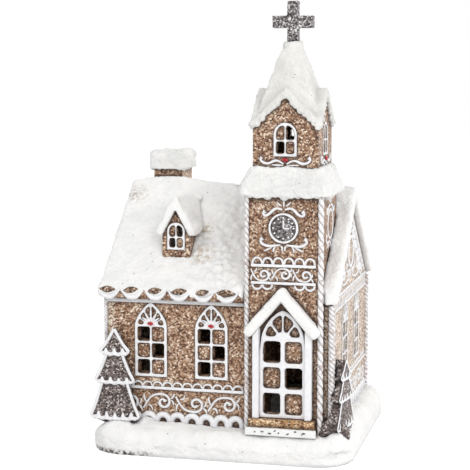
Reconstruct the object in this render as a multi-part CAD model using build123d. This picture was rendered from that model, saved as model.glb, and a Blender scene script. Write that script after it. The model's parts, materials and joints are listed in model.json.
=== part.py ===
from build123d import *
import os
from math import acos, cos, radians, sin, sqrt

# Lighted gingerbread church for a holiday village, in millimetres.
# +X runs to the right along the front, +Y to the back, +Z up.
# The origin is the middle of the base slab's underside.

# Snow base
base_width = 148
base_depth = 146
base_height = 15
base_corner = 20
base_edge = 3.5

# Nave: the long hall with its gabled roof
nave_width = 129
nave_depth = 122
nave_offset = -2.5
nave_setback = 16.5
nave_wall = 5.5
wall_height = 73
roof_rise = 50.5
roof_snow = 6
roof_round = 2.5
eave_round = 3
corner_share = 0.4
rim_share = 0.3
eave_overhang = 4.5
rake_overhang = 3.5
fascia_drop = 0.5
drip_pitch = 13.5
drip_depth = 1.7
drip_thickness = 2

# Arched windows of the nave
window_width = 19
window_sill = 26.5
window_spring = 29
window_rise = 12.5
window_pitch = 35
window_shift = 2.75
gable_pitch = 41
gable_shift = 2
window_rows = 3
fan_rays = 5
frame_edge = 1.9
frame_bar = 1.4
ray_width = 1
frame_relief = 1.6

# Clock tower beside the nave's right gable
tower_width = 41
tower_depth = 48
tower_clearance = 10.387
tower_projection = 4.5
tower_wall = 4
tower_rear_drop = 27.5

# Snow collar on the tower and the belfry above it
collar_overhang = 4
collar_band = 4
collar_height = 15
collar_corner = 4
collar_round = 2.5
collar_drip_pitch = 9
collar_drip_depth = 1.3
collar_lip = 1.2
light_well = 22
belfry_width = 36
belfry_depth = 41
belfry_height = 20.5
belfry_rise = 17.3
belfry_wall = 3.5
belfry_snow = 3.5
belfry_overhang = 2.6
belfry_rake = 1.3
belfry_window_width = 13.3
belfry_window_sill = 5.7
belfry_window_spring = 12
belfry_window_rise = 6.8
belfry_window_rail = 8.7

# Spire and cross
spire_foot = 9
spire_foot_width = 33
spire_waist = 23.5
spire_waist_width = 23.5
spire_neck = 43
spire_neck_width = 10.5
spire_knob_radius = 5.6
spire_knob_height = 4
spire_knob_round = 1.5
cross_height = 22
cross_span = 22.5
cross_bar = 6
cross_arm = 6.6
cross_arm_rise = 10.7
cross_thickness = 5.5
cross_pin_radius = 1.75
cross_pin_length = 7.5

# Porch, door and clock on the tower's front
door_width = 25.7
door_spring = 43.7
door_rise = 15.3
door_rays = 3
door_edge = 1.9
door_bar = 2.4
door_relief = 2
porch_slope = 1.16
porch_gap = 0.4
porch_margin = 1.7
porch_snow = 5.4
porch_overhang = 3.8
porch_depth = 8
post_width = 3.4
post_depth = 5
sill_height = 8.5
sill_depth = 6
step_width = 39
step_height = 4
step_depth = 2.4
clock_drop = 17.5
clock_radius = 8.4
clock_rim = 1.5
clock_rim_relief = 2
clock_dial_relief = 1

# White piped bands and corner ropes
rope_radius = 2.2
band_height = 1.5
band_relief = 1.2
tower_band_gap = 0.4
tower_band_pitch = 9.5
nave_band_low = 20.3
nave_band_high = 69.9

# Dormer and chimney on the nave's roof
dormer_place = 37.3
dormer_setback = 14.1
dormer_width = 16.3
dormer_eave = 31.9
dormer_rise = 15.1
dormer_wall = 2.5
dormer_snow = 4.3
dormer_overhang = 3.9
dormer_rake = 2.5
dormer_window_width = 11
dormer_window_sill = 23.6
dormer_window_spring = 11
dormer_window_rise = 5
dormer_window_rail = 7.4
dormer_hole_depth = 14
chimney_place = 18.2
chimney_setback = 13
chimney_width = 17.2
chimney_depth = 22
chimney_height = 7.7
chimney_cap = 10.5
chimney_lip = 2.5
chimney_round = 3.5

# Flat gingerbread fir trees
tree_tiers = 3
tier_growth = 1.12
tree_front_width = 28
tree_front_height = 54.8
tree_front_place = 7
tree_front_thickness = 4.5
tree_side_width = 28
tree_side_height = 41
tree_side_place = 4.8
tree_side_reach = 7.4
tree_side_turn = 9
tree_side_thickness = 6
tree_border = 1.7
tree_notch = 4.2
tree_lift = 1.6
tree_icing = 1.2

# Battery unit in the base
cell_diameter = 14.5
cell_length = 50.5
cell_nub_radius = 2.7
cell_nub = 1.4
cell_gap = 0.5
contact_space = 2
contact_thickness = 0.4
contact_width = 9
contact_height = 10
contact_dimple = 2.4
unit_x = -18
unit_y = 8
unit_wall = 1.8
unit_margin = 6
switch_room = 16
ground_gap = 1.5
flange_thickness = 2.2
seat_gap = 0.3
door_thickness = 1.8
door_ledge = 1.2
door_notch = 4
pin_radius = 0.6
pin_length = 1.6
pin_clearance = 0.05
screw_radius = 1.2
screw_head_radius = 2.3
screw_length = 9
screw_inset = 3.2

# Slide switch and lamps
switch_travel = 4
knob_length = 4
knob_width = 3
knob_reach = 0.9
knob_head = 6
knob_head_width = 4
knob_head_height = 1.6
switch_wall = 1.2
switch_height = 5.5
board_length = 22
board_width = 12
board_thickness = 1.2
lamp_radius = 2.5
lamp_body = 6
lamp_rim = 0.5
lamp_pitch = 10
lead_radius = 0.6
lead_sides = 8
lead_pitch = 4
lead_bend = 6

# Places that follow from the sizes
nave_left = nave_offset - nave_width / 2
nave_right = nave_offset + nave_width / 2
nave_front = -base_depth / 2 + nave_setback
nave_back = nave_front + nave_depth
ridge_y = (nave_front + nave_back) / 2
eave_z = base_height + wall_height
roof_slope = roof_rise / (nave_depth / 2)
snow_lift = roof_snow * sqrt(1 + roof_slope**2)
eave_front = nave_front - eave_overhang
eave_back = nave_back + eave_overhang
fascia_z = eave_z - fascia_drop
roof_left = nave_left - rake_overhang
roof_right = nave_right + rake_overhang


def under_roof(y):
    """Height of the nave roof's underside."""
    return eave_z + roof_slope * (nave_depth / 2 - abs(y - ridge_y))


def over_roof(y):
    """Height of the snow on the nave's roof."""
    return under_roof(y) + snow_lift


tower_right = nave_right - nave_wall
tower_left = tower_right - tower_width
tower_x = (tower_left + tower_right) / 2
tower_front = nave_front - tower_projection
tower_back = tower_front + tower_depth
tower_y = (tower_front + tower_back) / 2
tower_top = over_roof(tower_back + collar_overhang) + tower_clearance
tower_height = tower_top - base_height
belfry_foot = tower_top + collar_height
belfry_eave = belfry_foot + belfry_height
belfry_peak = belfry_eave + belfry_rise
spire_top = belfry_eave + spire_neck + spire_knob_height
sill_top = base_height + sill_height
rope_room = rope_radius + seat_gap
porch_half = door_width / 2 + post_width + porch_margin
arch_centre = (door_rise**2 - (door_width / 2) ** 2) / door_width
arch_reach = (door_width / 2 + arch_centre + porch_gap) * sqrt(1 + porch_slope**2)
porch_peak = sill_top + door_spring + arch_reach - porch_slope * arch_centre
porch_rise = porch_slope * porch_half
porch_top = porch_peak + porch_snow * sqrt(1 + porch_slope**2)

# Vertical planes of the walls: local x runs to the right seen from outside, local y up
nave_front_face = Plane((0, nave_front, 0), x_dir=(1, 0, 0), z_dir=(0, -1, 0))
nave_rear_face = Plane((0, nave_back, 0), x_dir=(-1, 0, 0), z_dir=(0, 1, 0))
nave_left_face = Plane((nave_left, 0, 0), x_dir=(0, -1, 0), z_dir=(-1, 0, 0))
nave_right_face = Plane((nave_right, 0, 0), x_dir=(0, 1, 0), z_dir=(1, 0, 0))
tower_face = Plane((tower_x, tower_front, 0), x_dir=(1, 0, 0), z_dir=(0, -1, 0))

# Where a solid grows from: up from its seat, or down from it
upright = (Align.CENTER, Align.CENTER, Align.MIN)
hanging = (Align.CENTER, Align.CENTER, Align.MAX)

os.makedirs("parts", exist_ok=True)


def block(low, high):
    """Box between two opposite corners."""
    size = [b - a for a, b in zip(low, high)]
    middle = [(a + b) / 2 for a, b in zip(low, high)]
    return Pos(*middle) * Box(*size)


def polygon(points):
    """Flat face with straight edges."""
    return make_face(Polyline(*points, close=True).edges())


def prism_x(points, start, end):
    """Solid with a profile of (y, z) points, drawn out along X."""
    return Pos(start, 0, 0) * extrude(Plane.YZ * polygon(points), amount=end - start)


def prism_y(points, start, end):
    """Solid with a profile of (x, z) points, drawn out along Y."""
    plane = Plane((0, start, 0), x_dir=(1, 0, 0), z_dir=(0, -1, 0))
    return extrude(plane * polygon(points), amount=start - end)


def save(shape, name):
    """Write one piece to its own file."""
    export_step(shape, f"parts/{name}.step")


def arch_face(width, spring, rise, inset=0):
    """Upright face closed by two arcs that meet in a point, or in a half circle."""
    centre = (rise**2 - (width / 2) ** 2) / width
    radius = width / 2 + centre - inset
    half = width / 2 - inset
    sweep = acos(centre / radius)
    peak = (0, spring + radius * sin(sweep))
    shoulder = (radius * cos(sweep / 2) - centre, spring + radius * sin(sweep / 2))
    right = ThreePointArc((half, spring), shoulder, peak)
    left = ThreePointArc(peak, (-shoulder[0], shoulder[1]), (-half, spring))
    sides = Polyline((-half, spring), (-half, inset), (half, inset), (half, spring))
    return make_face([*sides.edges(), right, left])


def window_faces(width, spring, rise, rails, mullion, rays, edge, bar):
    """Face of a window frame with its bars, and the faces of the lights that are open."""
    opening = arch_face(width, spring, rise, edge)
    frame = arch_face(width, spring, rise) - opening
    bars = Pos(0, mullion / 2) * Rectangle(bar, mullion)
    for rail in rails:
        bars += Pos(0, rail) * Rectangle(width, bar)
    for ray in range(rays):
        turn = 180 * (ray + 1) / (rays + 1)
        bars += Pos(0, spring) * Rot(0, 0, turn) * Pos(width / 2, 0) * Rectangle(width, ray_width)
    frame += bars & opening
    steps = [edge - bar / 2, *rails]
    if mullion > spring:
        steps.append(spring + rise + bar)
    lights = []
    for row in range(len(steps) - 1):
        side = 1 if row % 2 else -1
        tall = steps[row + 1] - steps[row] - bar
        cell = Rectangle(width, tall, align=(Align.MIN if side > 0 else Align.MAX, Align.MIN))
        lights.append((Pos(side * bar / 2, steps[row] + bar / 2) * cell) & opening)
    return frame, lights


def even_rails(spring, rows, edge, bar):
    """Heights of rails that part a window into equal rows below the spring of its arch."""
    first = edge - bar / 2
    return [first + (spring - first) * (row + 1) / rows for row in range(rows)]


def set_window(wall, plane, place, faces, depth, relief):
    """Cut a window's open lights through a wall and return the wall and its frame."""
    frame, lights = faces
    seat = plane * Pos(*place)
    for light in lights:
        wall -= extrude(seat * light, amount=-depth)
    return wall, extrude(seat * frame, amount=relief)


def drip_face(length, pitch, depth, head):
    """Strip whose lower edge hangs in rounded drips of uneven depth."""
    count = max(2, round(length / pitch))
    step = length / count
    edges = []
    for index in range(count):
        start = -length / 2 + index * step
        drop = depth * (0.7 + 0.3 * cos(2.4 * index))
        edges.append(ThreePointArc((start, 0), (start + step / 2, -drop), (start + step, 0)))
    ends = Polyline((length / 2, 0), (length / 2, head), (-length / 2, head), (-length / 2, 0))
    return make_face([*edges, *ends.edges()])


def chevron(half, eave, rise, snow, overhang):
    """Outline of a snowy gable roof: two sloping slabs that meet at the peak."""
    slope = rise / half
    run = sqrt(1 + slope**2)
    peak = eave + rise
    tip = (half + overhang, eave + snow * run - slope * overhang)
    toe = (tip[0] - snow * slope / run, tip[1] - snow / run)
    return [(0, peak + snow * run), tip, toe, (0, peak), (-toe[0], toe[1]), (-tip[0], tip[1])]


def snow_slab(plane, points, length, snow):
    """Chevron of snow drawn back from a plane, with rounded corners."""
    face = polygon(points)
    corners = face.vertices().sort_by_distance(Vector(*points[3], 0))[1:]
    return extrude(plane * fillet(corners, corner_share * snow), amount=-length)


def moved(points, dx):
    """Profile points moved sideways."""
    return [(a + dx, b) for a, b in points]


def gable_outline(half, foot, eave, rise):
    """Wall outline with a gable on top."""
    return [(-half, foot), (half, foot), (half, eave), (0, eave + rise), (-half, eave)]


def snow_volume():
    """Everything below the snow on the nave's roof."""
    outline = [
        (eave_front, base_height),
        (eave_front, over_roof(eave_front)),
        (ridge_y, over_roof(ridge_y)),
        (eave_back, over_roof(eave_back)),
        (eave_back, base_height),
    ]
    return prism_x(outline, roof_left, roof_right)


def rope_space(clearance):
    """Room that the two front corner ropes of the tower take up."""
    room = Part()
    for x in (tower_left, tower_right):
        bead = Cylinder(rope_radius + clearance, tower_height)
        room += Pos(x, tower_front, base_height + tower_height / 2) * bead
    return room


# Battery unit: a plastic tray let into the base from below, with room for two AA cells
tray_length = cell_length + 2 * contact_space
tray_width = 2 * cell_diameter + 3 * cell_gap
tray_height = cell_diameter + 2 * cell_gap
tray_foot = ground_gap + flange_thickness
tray_top = tray_foot + tray_height + unit_wall
tray_left = unit_x - tray_length / 2
tray_right = unit_x + tray_length / 2
flange_left = tray_left - unit_wall - unit_margin
flange_right = tray_right + unit_wall + unit_margin + switch_room
flange_half = tray_width / 2 + unit_wall + unit_margin
switch_x = tray_right + unit_wall + unit_margin / 2 + switch_room / 2
switch_cavity = knob_head + switch_travel + 2 * seat_gap
switch_length = switch_cavity + 2 * switch_wall
switch_width = knob_head_width + 2 * seat_gap + 2 * switch_wall
axle_z = ground_gap + flange_thickness / 2
axle_x = tray_left - door_ledge + seat_gap + door_thickness / 2
screw_places = [
    (x, unit_y + side * (flange_half - screw_inset))
    for x in (flange_left + screw_inset, flange_right - screw_inset)
    for side in (-1, 1)
]

flange = block(
    (flange_left, unit_y - flange_half, ground_gap),
    (flange_right, unit_y + flange_half, tray_foot),
)
shell = block(
    (tray_left - unit_wall, unit_y - tray_width / 2 - unit_wall, tray_foot),
    (tray_right + unit_wall, unit_y + tray_width / 2 + unit_wall, tray_top),
)
hollow = block(
    (tray_left, unit_y - tray_width / 2, tray_foot),
    (tray_right, unit_y + tray_width / 2, tray_foot + tray_height),
)
doorway = block(
    (tray_left - door_ledge, unit_y - tray_width / 2 - door_ledge, ground_gap),
    (tray_right + door_ledge, unit_y + tray_width / 2 + door_ledge, tray_foot),
)
battery_box = flange + shell - hollow - doorway
axle_reach = tray_width + 2 * door_ledge + 2 * pin_length
battery_box -= Pos(axle_x, unit_y, axle_z) * Rot(90, 0, 0) * Cylinder(pin_radius + pin_clearance, axle_reach)
battery_box -= block(
    (switch_x - (knob_length + switch_travel) / 2 - seat_gap, unit_y - knob_width / 2 - seat_gap, ground_gap),
    (switch_x + (knob_length + switch_travel) / 2 + seat_gap, unit_y + knob_width / 2 + seat_gap, tray_foot),
)

# Screws that hold the unit's flange to the base, countersunk into it
screw_sink = screw_head_radius - screw_radius
screws = Part()
screw_holes = Part()
for x, y in screw_places:
    head = Cone(screw_head_radius, screw_radius, screw_sink, align=upright)
    shank = Cylinder(screw_radius, screw_length, align=upright)
    bore = Cylinder(screw_radius + pin_clearance, screw_length + seat_gap, align=upright)
    seat = Pos(x, y, ground_gap)
    screws += seat * (head + shank)
    screw_holes += seat * (head + bore)
battery_box -= screw_holes
save(battery_box, "battery_box")
save(screws, "unit_screws")

# Battery door: hinged on two moulded pins at its left end, opening downwards
door_half = tray_width / 2 + door_ledge - seat_gap
door_end = tray_right + door_ledge - seat_gap
plate = block(
    (axle_x, unit_y - door_half, axle_z - door_thickness / 2),
    (door_end, unit_y + door_half, axle_z + door_thickness / 2),
)
knuckle = Pos(axle_x, unit_y, axle_z) * Rot(90, 0, 0) * Cylinder(door_thickness / 2, 2 * door_half)
door_pins = Pos(axle_x, unit_y, axle_z) * Rot(90, 0, 0) * Cylinder(pin_radius, 2 * (door_half + pin_length))
thumb = Pos(door_end, unit_y, axle_z - door_thickness / 2) * Sphere(door_notch)
thumb &= block(
    (door_end - door_notch, unit_y - door_notch, axle_z - door_thickness),
    (door_end + door_notch, unit_y + door_notch, axle_z),
)
save(plate + knuckle + door_pins - thumb, "battery_door")

# Two AA cells, head to tail, and the leaf contacts at their ends
cells = Part()
contacts = Part()
cell_z = tray_foot + tray_height / 2
for side in (-1, 1):
    y = unit_y + side * (cell_diameter + cell_gap) / 2
    can = Cylinder(cell_diameter / 2, cell_length - cell_nub, align=upright)
    nub = Cylinder(cell_nub_radius, cell_length, align=upright)
    cells += Pos(unit_x - side * cell_length / 2, y, cell_z) * Rot(0, side * 90, 0) * (can + nub)
    for end in (-1, 1):
        wall_x = unit_x + end * tray_length / 2
        leaf = Box(contact_width, contact_height, contact_thickness, align=upright)
        stud_height = contact_space - seat_gap / 2
        stud = Cone(contact_dimple, contact_dimple / 2, stud_height, align=upright)
        contacts += Pos(wall_x, y, cell_z) * Rot(0, -end * 90, 0) * (leaf + stud)
save(cells, "battery_cells")
save(contacts, "battery_contacts")

# Slide switch: a case on the flange and a knob that reaches down through the slot
case = block(
    (switch_x - switch_length / 2, unit_y - switch_width / 2, tray_foot),
    (switch_x + switch_length / 2, unit_y + switch_width / 2, tray_foot + switch_height),
)
case -= block(
    (switch_x - switch_cavity / 2, unit_y - switch_width / 2 + switch_wall, tray_foot),
    (
        switch_x + switch_cavity / 2,
        unit_y + switch_width / 2 - switch_wall,
        tray_foot + knob_head_height + 2 * seat_gap,
    ),
)
save(case, "switch_case")
knob_x = switch_x - switch_travel / 2
knob_foot = ground_gap - knob_reach
stem = block(
    (knob_x - knob_length / 2, unit_y - knob_width / 2, knob_foot),
    (knob_x + knob_length / 2, unit_y + knob_width / 2, tray_foot + seat_gap),
)
head = block(
    (knob_x - knob_head / 2, unit_y - knob_head_width / 2, tray_foot + seat_gap),
    (knob_x + knob_head / 2, unit_y + knob_head_width / 2, tray_foot + seat_gap + knob_head_height),
)
save(stem + head, "switch_knob")

# Lamp board on top of the tray, two lamps on it and the leads from the switch
board = block(
    (unit_x - board_length / 2, unit_y - board_width / 2, tray_top),
    (unit_x + board_length / 2, unit_y + board_width / 2, tray_top + board_thickness),
)
save(board, "lamp_board")
lamps = Part()
for side in (-1, 1):
    rim = Cylinder(lamp_radius + lamp_rim, 2 * lamp_rim, align=upright)
    body = Cylinder(lamp_radius, lamp_body, align=upright)
    dome = Pos(0, 0, lamp_body) * Sphere(lamp_radius)
    place = Pos(unit_x + side * lamp_pitch / 2, unit_y, tray_top + board_thickness)
    lamps += place * (rim + body + dome)
save(lamps, "lamps")
leads = Part()
lead_z = tray_top + board_thickness / 2
for side in (-1, 1):
    y = unit_y + side * lead_pitch / 2
    route = FilletPolyline(
        (switch_x, y, tray_foot + switch_height),
        (switch_x, y, lead_z),
        (unit_x + board_length / 2, y, lead_z),
        radius=lead_bend,
    )
    section = RegularPolygon(lead_radius, lead_sides)
    leads += sweep(Plane((switch_x, y, tray_foot + switch_height)) * section, path=route)
save(leads, "lamp_leads")

# Snow base with the seat of the battery unit in its underside
base = extrude(RectangleRounded(base_width, base_depth, base_corner), amount=base_height)
base = fillet(base.faces().sort_by(Axis.Z)[-1].edges(), base_edge)
base -= block(
    (flange_left - seat_gap, unit_y - flange_half - seat_gap, 0),
    (flange_right + seat_gap, unit_y + flange_half + seat_gap, tray_foot),
)
base -= block(
    (tray_left - unit_wall - seat_gap, unit_y - tray_width / 2 - unit_wall - seat_gap, tray_foot),
    (tray_right + unit_wall + seat_gap, unit_y + tray_width / 2 + unit_wall + seat_gap, base_height),
)
base -= block(
    (switch_x - switch_length / 2 - seat_gap, unit_y - switch_width / 2 - seat_gap, tray_foot),
    (switch_x + switch_length / 2 + seat_gap, unit_y + switch_width / 2 + seat_gap, base_height),
)
base -= screw_holes
save(base, "snow_base")

# Nave walls: front and rear panels between two full gables
wall_top = under_roof(nave_front + nave_wall)
front_wall = prism_x(
    [
        (nave_front, base_height),
        (nave_front + nave_wall, base_height),
        (nave_front + nave_wall, wall_top),
        (nave_front, eave_z),
    ],
    nave_left + nave_wall,
    tower_left,
)
rear_wall = prism_x(
    [
        (nave_back, base_height),
        (nave_back - nave_wall, base_height),
        (nave_back - nave_wall, wall_top),
        (nave_back, eave_z),
    ],
    nave_left + nave_wall,
    nave_right - nave_wall,
)
gable = moved(gable_outline(nave_depth / 2, base_height, eave_z, roof_rise), ridge_y)
left_gable = prism_x(gable, nave_left, nave_left + nave_wall)
right_gable = prism_x(gable, nave_right - nave_wall, nave_right)

nave_rails = even_rails(window_spring, window_rows, frame_edge, frame_bar)
nave_window = window_faces(
    window_width, window_spring, window_rise, nave_rails, window_spring, fan_rays, frame_edge, frame_bar
)
sill_z = base_height + window_sill
front_middle = (nave_left + tower_left) / 2 + window_shift
for name, side in (("left", -1), ("right", 1)):
    place = front_middle + side * window_pitch / 2
    front_wall, frame = set_window(
        front_wall, nave_front_face, (place, sill_z), nave_window, nave_wall, frame_relief
    )
    save(frame, f"nave_window_front_{name}")
for name, side in (("left", 1), ("right", -1)):
    place = -nave_offset - side * window_pitch / 2
    rear_wall, frame = set_window(
        rear_wall, nave_rear_face, (place, sill_z), nave_window, nave_wall, frame_relief
    )
    save(frame, f"nave_window_rear_{name}")
for name, side in (("front", -1), ("rear", 1)):
    place = ridge_y + gable_shift + side * gable_pitch / 2
    left_gable, frame = set_window(
        left_gable, nave_left_face, (-place, sill_z), nave_window, nave_wall, frame_relief
    )
    save(frame, f"nave_window_left_{name}")
    right_gable, frame = set_window(
        right_gable, nave_right_face, (place, sill_z), nave_window, nave_wall, frame_relief
    )
    save(frame, f"nave_window_right_{name}")
save(front_wall, "nave_front_wall")
save(rear_wall, "nave_rear_wall")
save(left_gable, "nave_left_gable")
save(right_gable, "nave_right_gable")

# Nave roof: two slabs of snow that meet at the ridge, with drips along both eaves
roof_length = roof_right - roof_left
drips = drip_face(roof_length, drip_pitch, drip_depth, fascia_drop)
slabs = {}
for name, wall_y, eave_y, out in (("front", nave_front, eave_front, -1), ("rear", nave_back, eave_back, 1)):
    outline = [
        (eave_y, fascia_z),
        (eave_y, over_roof(eave_y)),
        (ridge_y, over_roof(ridge_y)),
        (ridge_y, under_roof(ridge_y)),
        (wall_y, eave_z),
        (wall_y, fascia_z),
    ]
    face = polygon(outline)
    brow = face.vertices().sort_by_distance(Vector(*outline[1], 0))[:1]
    slab = Pos(roof_left, 0, 0) * extrude(Plane.YZ * fillet(brow, eave_round), amount=roof_length)
    rims = slab.faces().sort_by(Axis.X)
    rakes = [
        edge
        for rim in (rims[0], rims[-1])
        for edge in rim.edges()
        if edge.length > nave_depth / 2 and edge.center().Z > under_roof(edge.center().Y)
    ]
    slab = fillet(rakes, roof_round)
    edge_plane = Plane(((roof_left + roof_right) / 2, eave_y, fascia_z), x_dir=(1, 0, 0), z_dir=(0, -1, 0))
    slabs[name] = slab + extrude(edge_plane * drips, amount=out * drip_thickness)
tower_shaft = block((tower_left, eave_front - tower_depth, 0), (tower_right, tower_back, belfry_peak))
dormer_x = nave_left + dormer_place
dormer_front = nave_front + dormer_setback
dormer_hole = block(
    (dormer_x - dormer_width / 2 + dormer_wall, dormer_front + dormer_wall, eave_z),
    (dormer_x + dormer_width / 2 - dormer_wall, dormer_front + dormer_wall + dormer_hole_depth, belfry_peak),
)
save(slabs["front"] - tower_shaft - rope_space(seat_gap) - dormer_hole, "nave_roof_front")
save(slabs["rear"], "nave_roof_rear")

# Dormer: a small hollow gable on the front slope
dormer_half = dormer_width / 2
dormer_eave_z = eave_z + dormer_eave
dormer_slope = dormer_rise / dormer_half
inner_half = dormer_half - dormer_wall
inner_peak = dormer_eave_z + dormer_rise - dormer_wall * sqrt(1 + dormer_slope**2)
inner_eave = inner_peak - dormer_slope * inner_half
outer = moved(gable_outline(dormer_half, eave_z, dormer_eave_z, dormer_rise), dormer_x)
inner = moved(gable_outline(inner_half, eave_z, inner_eave, inner_peak - inner_eave), dormer_x)
dormer = prism_y(outer, dormer_front, ridge_y) - prism_y(inner, dormer_front + dormer_wall, ridge_y)
dormer -= snow_volume()
dormer_face = Plane((dormer_x, dormer_front, 0), x_dir=(1, 0, 0), z_dir=(0, -1, 0))
dormer_window = window_faces(
    dormer_window_width,
    dormer_window_spring,
    dormer_window_rise,
    [dormer_window_rail],
    dormer_window_spring + dormer_window_rise,
    0,
    frame_edge,
    frame_bar,
)
dormer, frame = set_window(
    dormer, dormer_face, (0, eave_z + dormer_window_sill), dormer_window, dormer_wall, frame_relief
)
dormer_brow = Plane((dormer_x, dormer_front - dormer_rake, 0), x_dir=(1, 0, 0), z_dir=(0, -1, 0))
dormer_outline = chevron(dormer_half, dormer_eave_z, dormer_rise, dormer_snow, dormer_overhang)
dormer_length = ridge_y - dormer_front + dormer_rake
dormer_roof = snow_slab(dormer_brow, dormer_outline, dormer_length, dormer_snow)
save(dormer, "dormer_walls")
save(frame, "dormer_window")
save(dormer_roof - snow_volume(), "dormer_snow_roof")

# Chimney just behind the ridge, with a rounded cap of snow
chimney_x = nave_left + chimney_place
chimney_y = ridge_y + chimney_setback
chimney_top = over_roof(ridge_y) + chimney_height
stack = block(
    (chimney_x - chimney_width / 2, chimney_y - chimney_depth / 2, eave_z),
    (chimney_x + chimney_width / 2, chimney_y + chimney_depth / 2, chimney_top),
)
save(stack - snow_volume(), "chimney_stack")
cap = Pos(chimney_x, chimney_y, chimney_top) * Box(
    chimney_width + 2 * chimney_lip, chimney_depth + 2 * chimney_lip, chimney_cap, align=upright
)
cap = fillet(cap.edges().filter_by(Axis.Z), chimney_round)
cap = fillet(cap.faces().sort_by(Axis.Z)[-1].edges(), chimney_round)
save(cap, "chimney_snow_cap")

# Tower walls: front and rear panels over the full width, side panels between them
tower_half = tower_width / 2
front_panel = block(
    (tower_left, tower_front, base_height),
    (tower_right, tower_front + tower_wall, tower_top),
)
rear_panel = block(
    (tower_left, tower_back - tower_wall, tower_top - tower_rear_drop),
    (tower_right, tower_back, tower_top),
)
for name, inner_x, outer_x in (
    ("left", tower_left + tower_wall, tower_left),
    ("right", tower_right - tower_wall, tower_right),
):
    side_panel = block(
        (min(inner_x, outer_x), tower_front + tower_wall, base_height),
        (max(inner_x, outer_x), tower_back - tower_wall, tower_top),
    )
    save(side_panel, f"tower_{name}_wall")
door_rails = even_rails(door_spring, window_rows, door_edge, door_bar)
door_faces = window_faces(
    door_width, door_spring, door_rise, door_rails, door_spring, door_rays, door_edge, door_bar
)
front_panel, door_frame = set_window(
    front_panel, tower_face, (0, sill_top), door_faces, tower_wall, door_relief
)
save(front_panel, "tower_front_wall")
save(rear_panel, "tower_rear_wall")
save(door_frame, "door_frame")

# Porch: thick snow on two posts, over a sill and a step
porch_outline = chevron(porch_half, porch_peak - porch_rise, porch_rise, porch_snow, porch_overhang)
porch_front = Plane((tower_x, tower_front - porch_depth, 0), x_dir=(1, 0, 0), z_dir=(0, -1, 0))
porch = snow_slab(porch_front, porch_outline, porch_depth, porch_snow)
porch = fillet(porch.faces().sort_by(Axis.Y)[0].edges(), rim_share * porch_snow)
save(porch - rope_space(seat_gap), "porch_snow_roof")
under_porch = moved(gable_outline(porch_half, sill_top, porch_peak - porch_rise, porch_rise), tower_x)
posts = Part()
for side in (-1, 1):
    middle = tower_x + side * (door_width + post_width) / 2
    posts += block(
        (middle - post_width / 2, tower_front - post_depth, sill_top),
        (middle + post_width / 2, tower_front, belfry_peak),
    )
save(posts & prism_y(under_porch, tower_front - porch_depth, tower_front), "porch_posts")
sill_half = tower_half - rope_room
sill = block(
    (tower_x - sill_half, tower_front - sill_depth, base_height),
    (tower_x + sill_half, tower_front, sill_top),
)
step = block(
    (tower_x - step_width / 2, tower_front - sill_depth - step_depth, base_height),
    (tower_x + step_width / 2, tower_front - sill_depth, base_height + step_height),
)
save(sill, "door_sill")
save(step, "door_step")

# Clock: a dial in a raised rim
clock_seat = tower_face * Pos(0, tower_top - clock_drop)
rim_face = Circle(clock_radius) - Circle(clock_radius - clock_rim)
save(extrude(clock_seat * rim_face, amount=clock_rim_relief), "clock_rim")
dial_face = Circle(clock_radius - clock_rim - seat_gap / 2)
save(extrude(clock_seat * dial_face, amount=clock_dial_relief), "clock_dial")

# White bands across the tower and the nave's front
bands = Part()
band_z = porch_top + tower_band_gap + band_height / 2
for height in (band_z, band_z + tower_band_pitch):
    bar = Rectangle(2 * sill_half, band_height)
    bands += extrude(tower_face * Pos(0, height) * bar, amount=band_relief)
band_left = nave_left + rope_room
band_right = tower_left - rope_room
for height in (nave_band_low, nave_band_high):
    bar = Rectangle(band_right - band_left, band_height)
    seat = nave_front_face * Pos((band_left + band_right) / 2, base_height + height)
    bands += extrude(seat * bar, amount=band_relief)
save(bands, "piped_bands")

# Corner ropes: round mouldings that clasp the tower's and the nave's corners
tower_body = block((tower_left, tower_front, 0), (tower_right, tower_back, belfry_peak))
nave_body = block((nave_left, nave_front, 0), (nave_right, nave_back, belfry_peak))
save(rope_space(0) - tower_body - nave_body, "tower_ropes")
ropes = Part()
rope_height = fascia_z - drip_depth - base_height
for x in (nave_left, nave_right):
    for y in (nave_front, nave_back):
        ropes += Pos(x, y, base_height + rope_height / 2) * Cylinder(rope_radius, rope_height)
save(ropes - nave_body - tower_body, "nave_ropes")

# Snow collar: a skirt with drips on the tower's top, sloping in to the belfry
collar_width = tower_width + 2 * collar_overhang
collar_depth = tower_depth + 2 * collar_overhang
collar_seat = Pos(tower_x, tower_y, tower_top)
skirt_face = RectangleRounded(collar_width, collar_depth, collar_corner)
collar = collar_seat * extrude(skirt_face, amount=collar_band)
shelf_face = RectangleRounded(
    belfry_width + 2 * collar_lip, belfry_depth + 2 * collar_lip, collar_corner / 2
)
collar += collar_seat * loft([Pos(0, 0, collar_band) * skirt_face, Pos(0, 0, collar_height) * shelf_face])
brow_z = tower_top + collar_band
brow = collar.edges().filter_by(lambda edge: abs(edge.center().Z - brow_z) < seat_gap)
collar = fillet(brow, collar_round)
for along, across, direction in (
    (tower_width, tower_depth, (0, -1, 0)),
    (tower_width, tower_depth, (0, 1, 0)),
    (tower_depth, tower_width, (-1, 0, 0)),
    (tower_depth, tower_width, (1, 0, 0)),
):
    outward = Vector(*direction)
    origin = Vector(tower_x, tower_y, tower_top) + outward * (across / 2)
    hang = Plane(origin, x_dir=Vector(0, 0, 1).cross(outward), z_dir=outward)
    face = drip_face(along - 2 * rope_room, collar_drip_pitch, collar_drip_depth, collar_band)
    collar += extrude(hang * face, amount=collar_overhang)
collar -= collar_seat * Box(light_well, light_well, 3 * collar_height)
save(collar, "tower_snow_collar")

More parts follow.
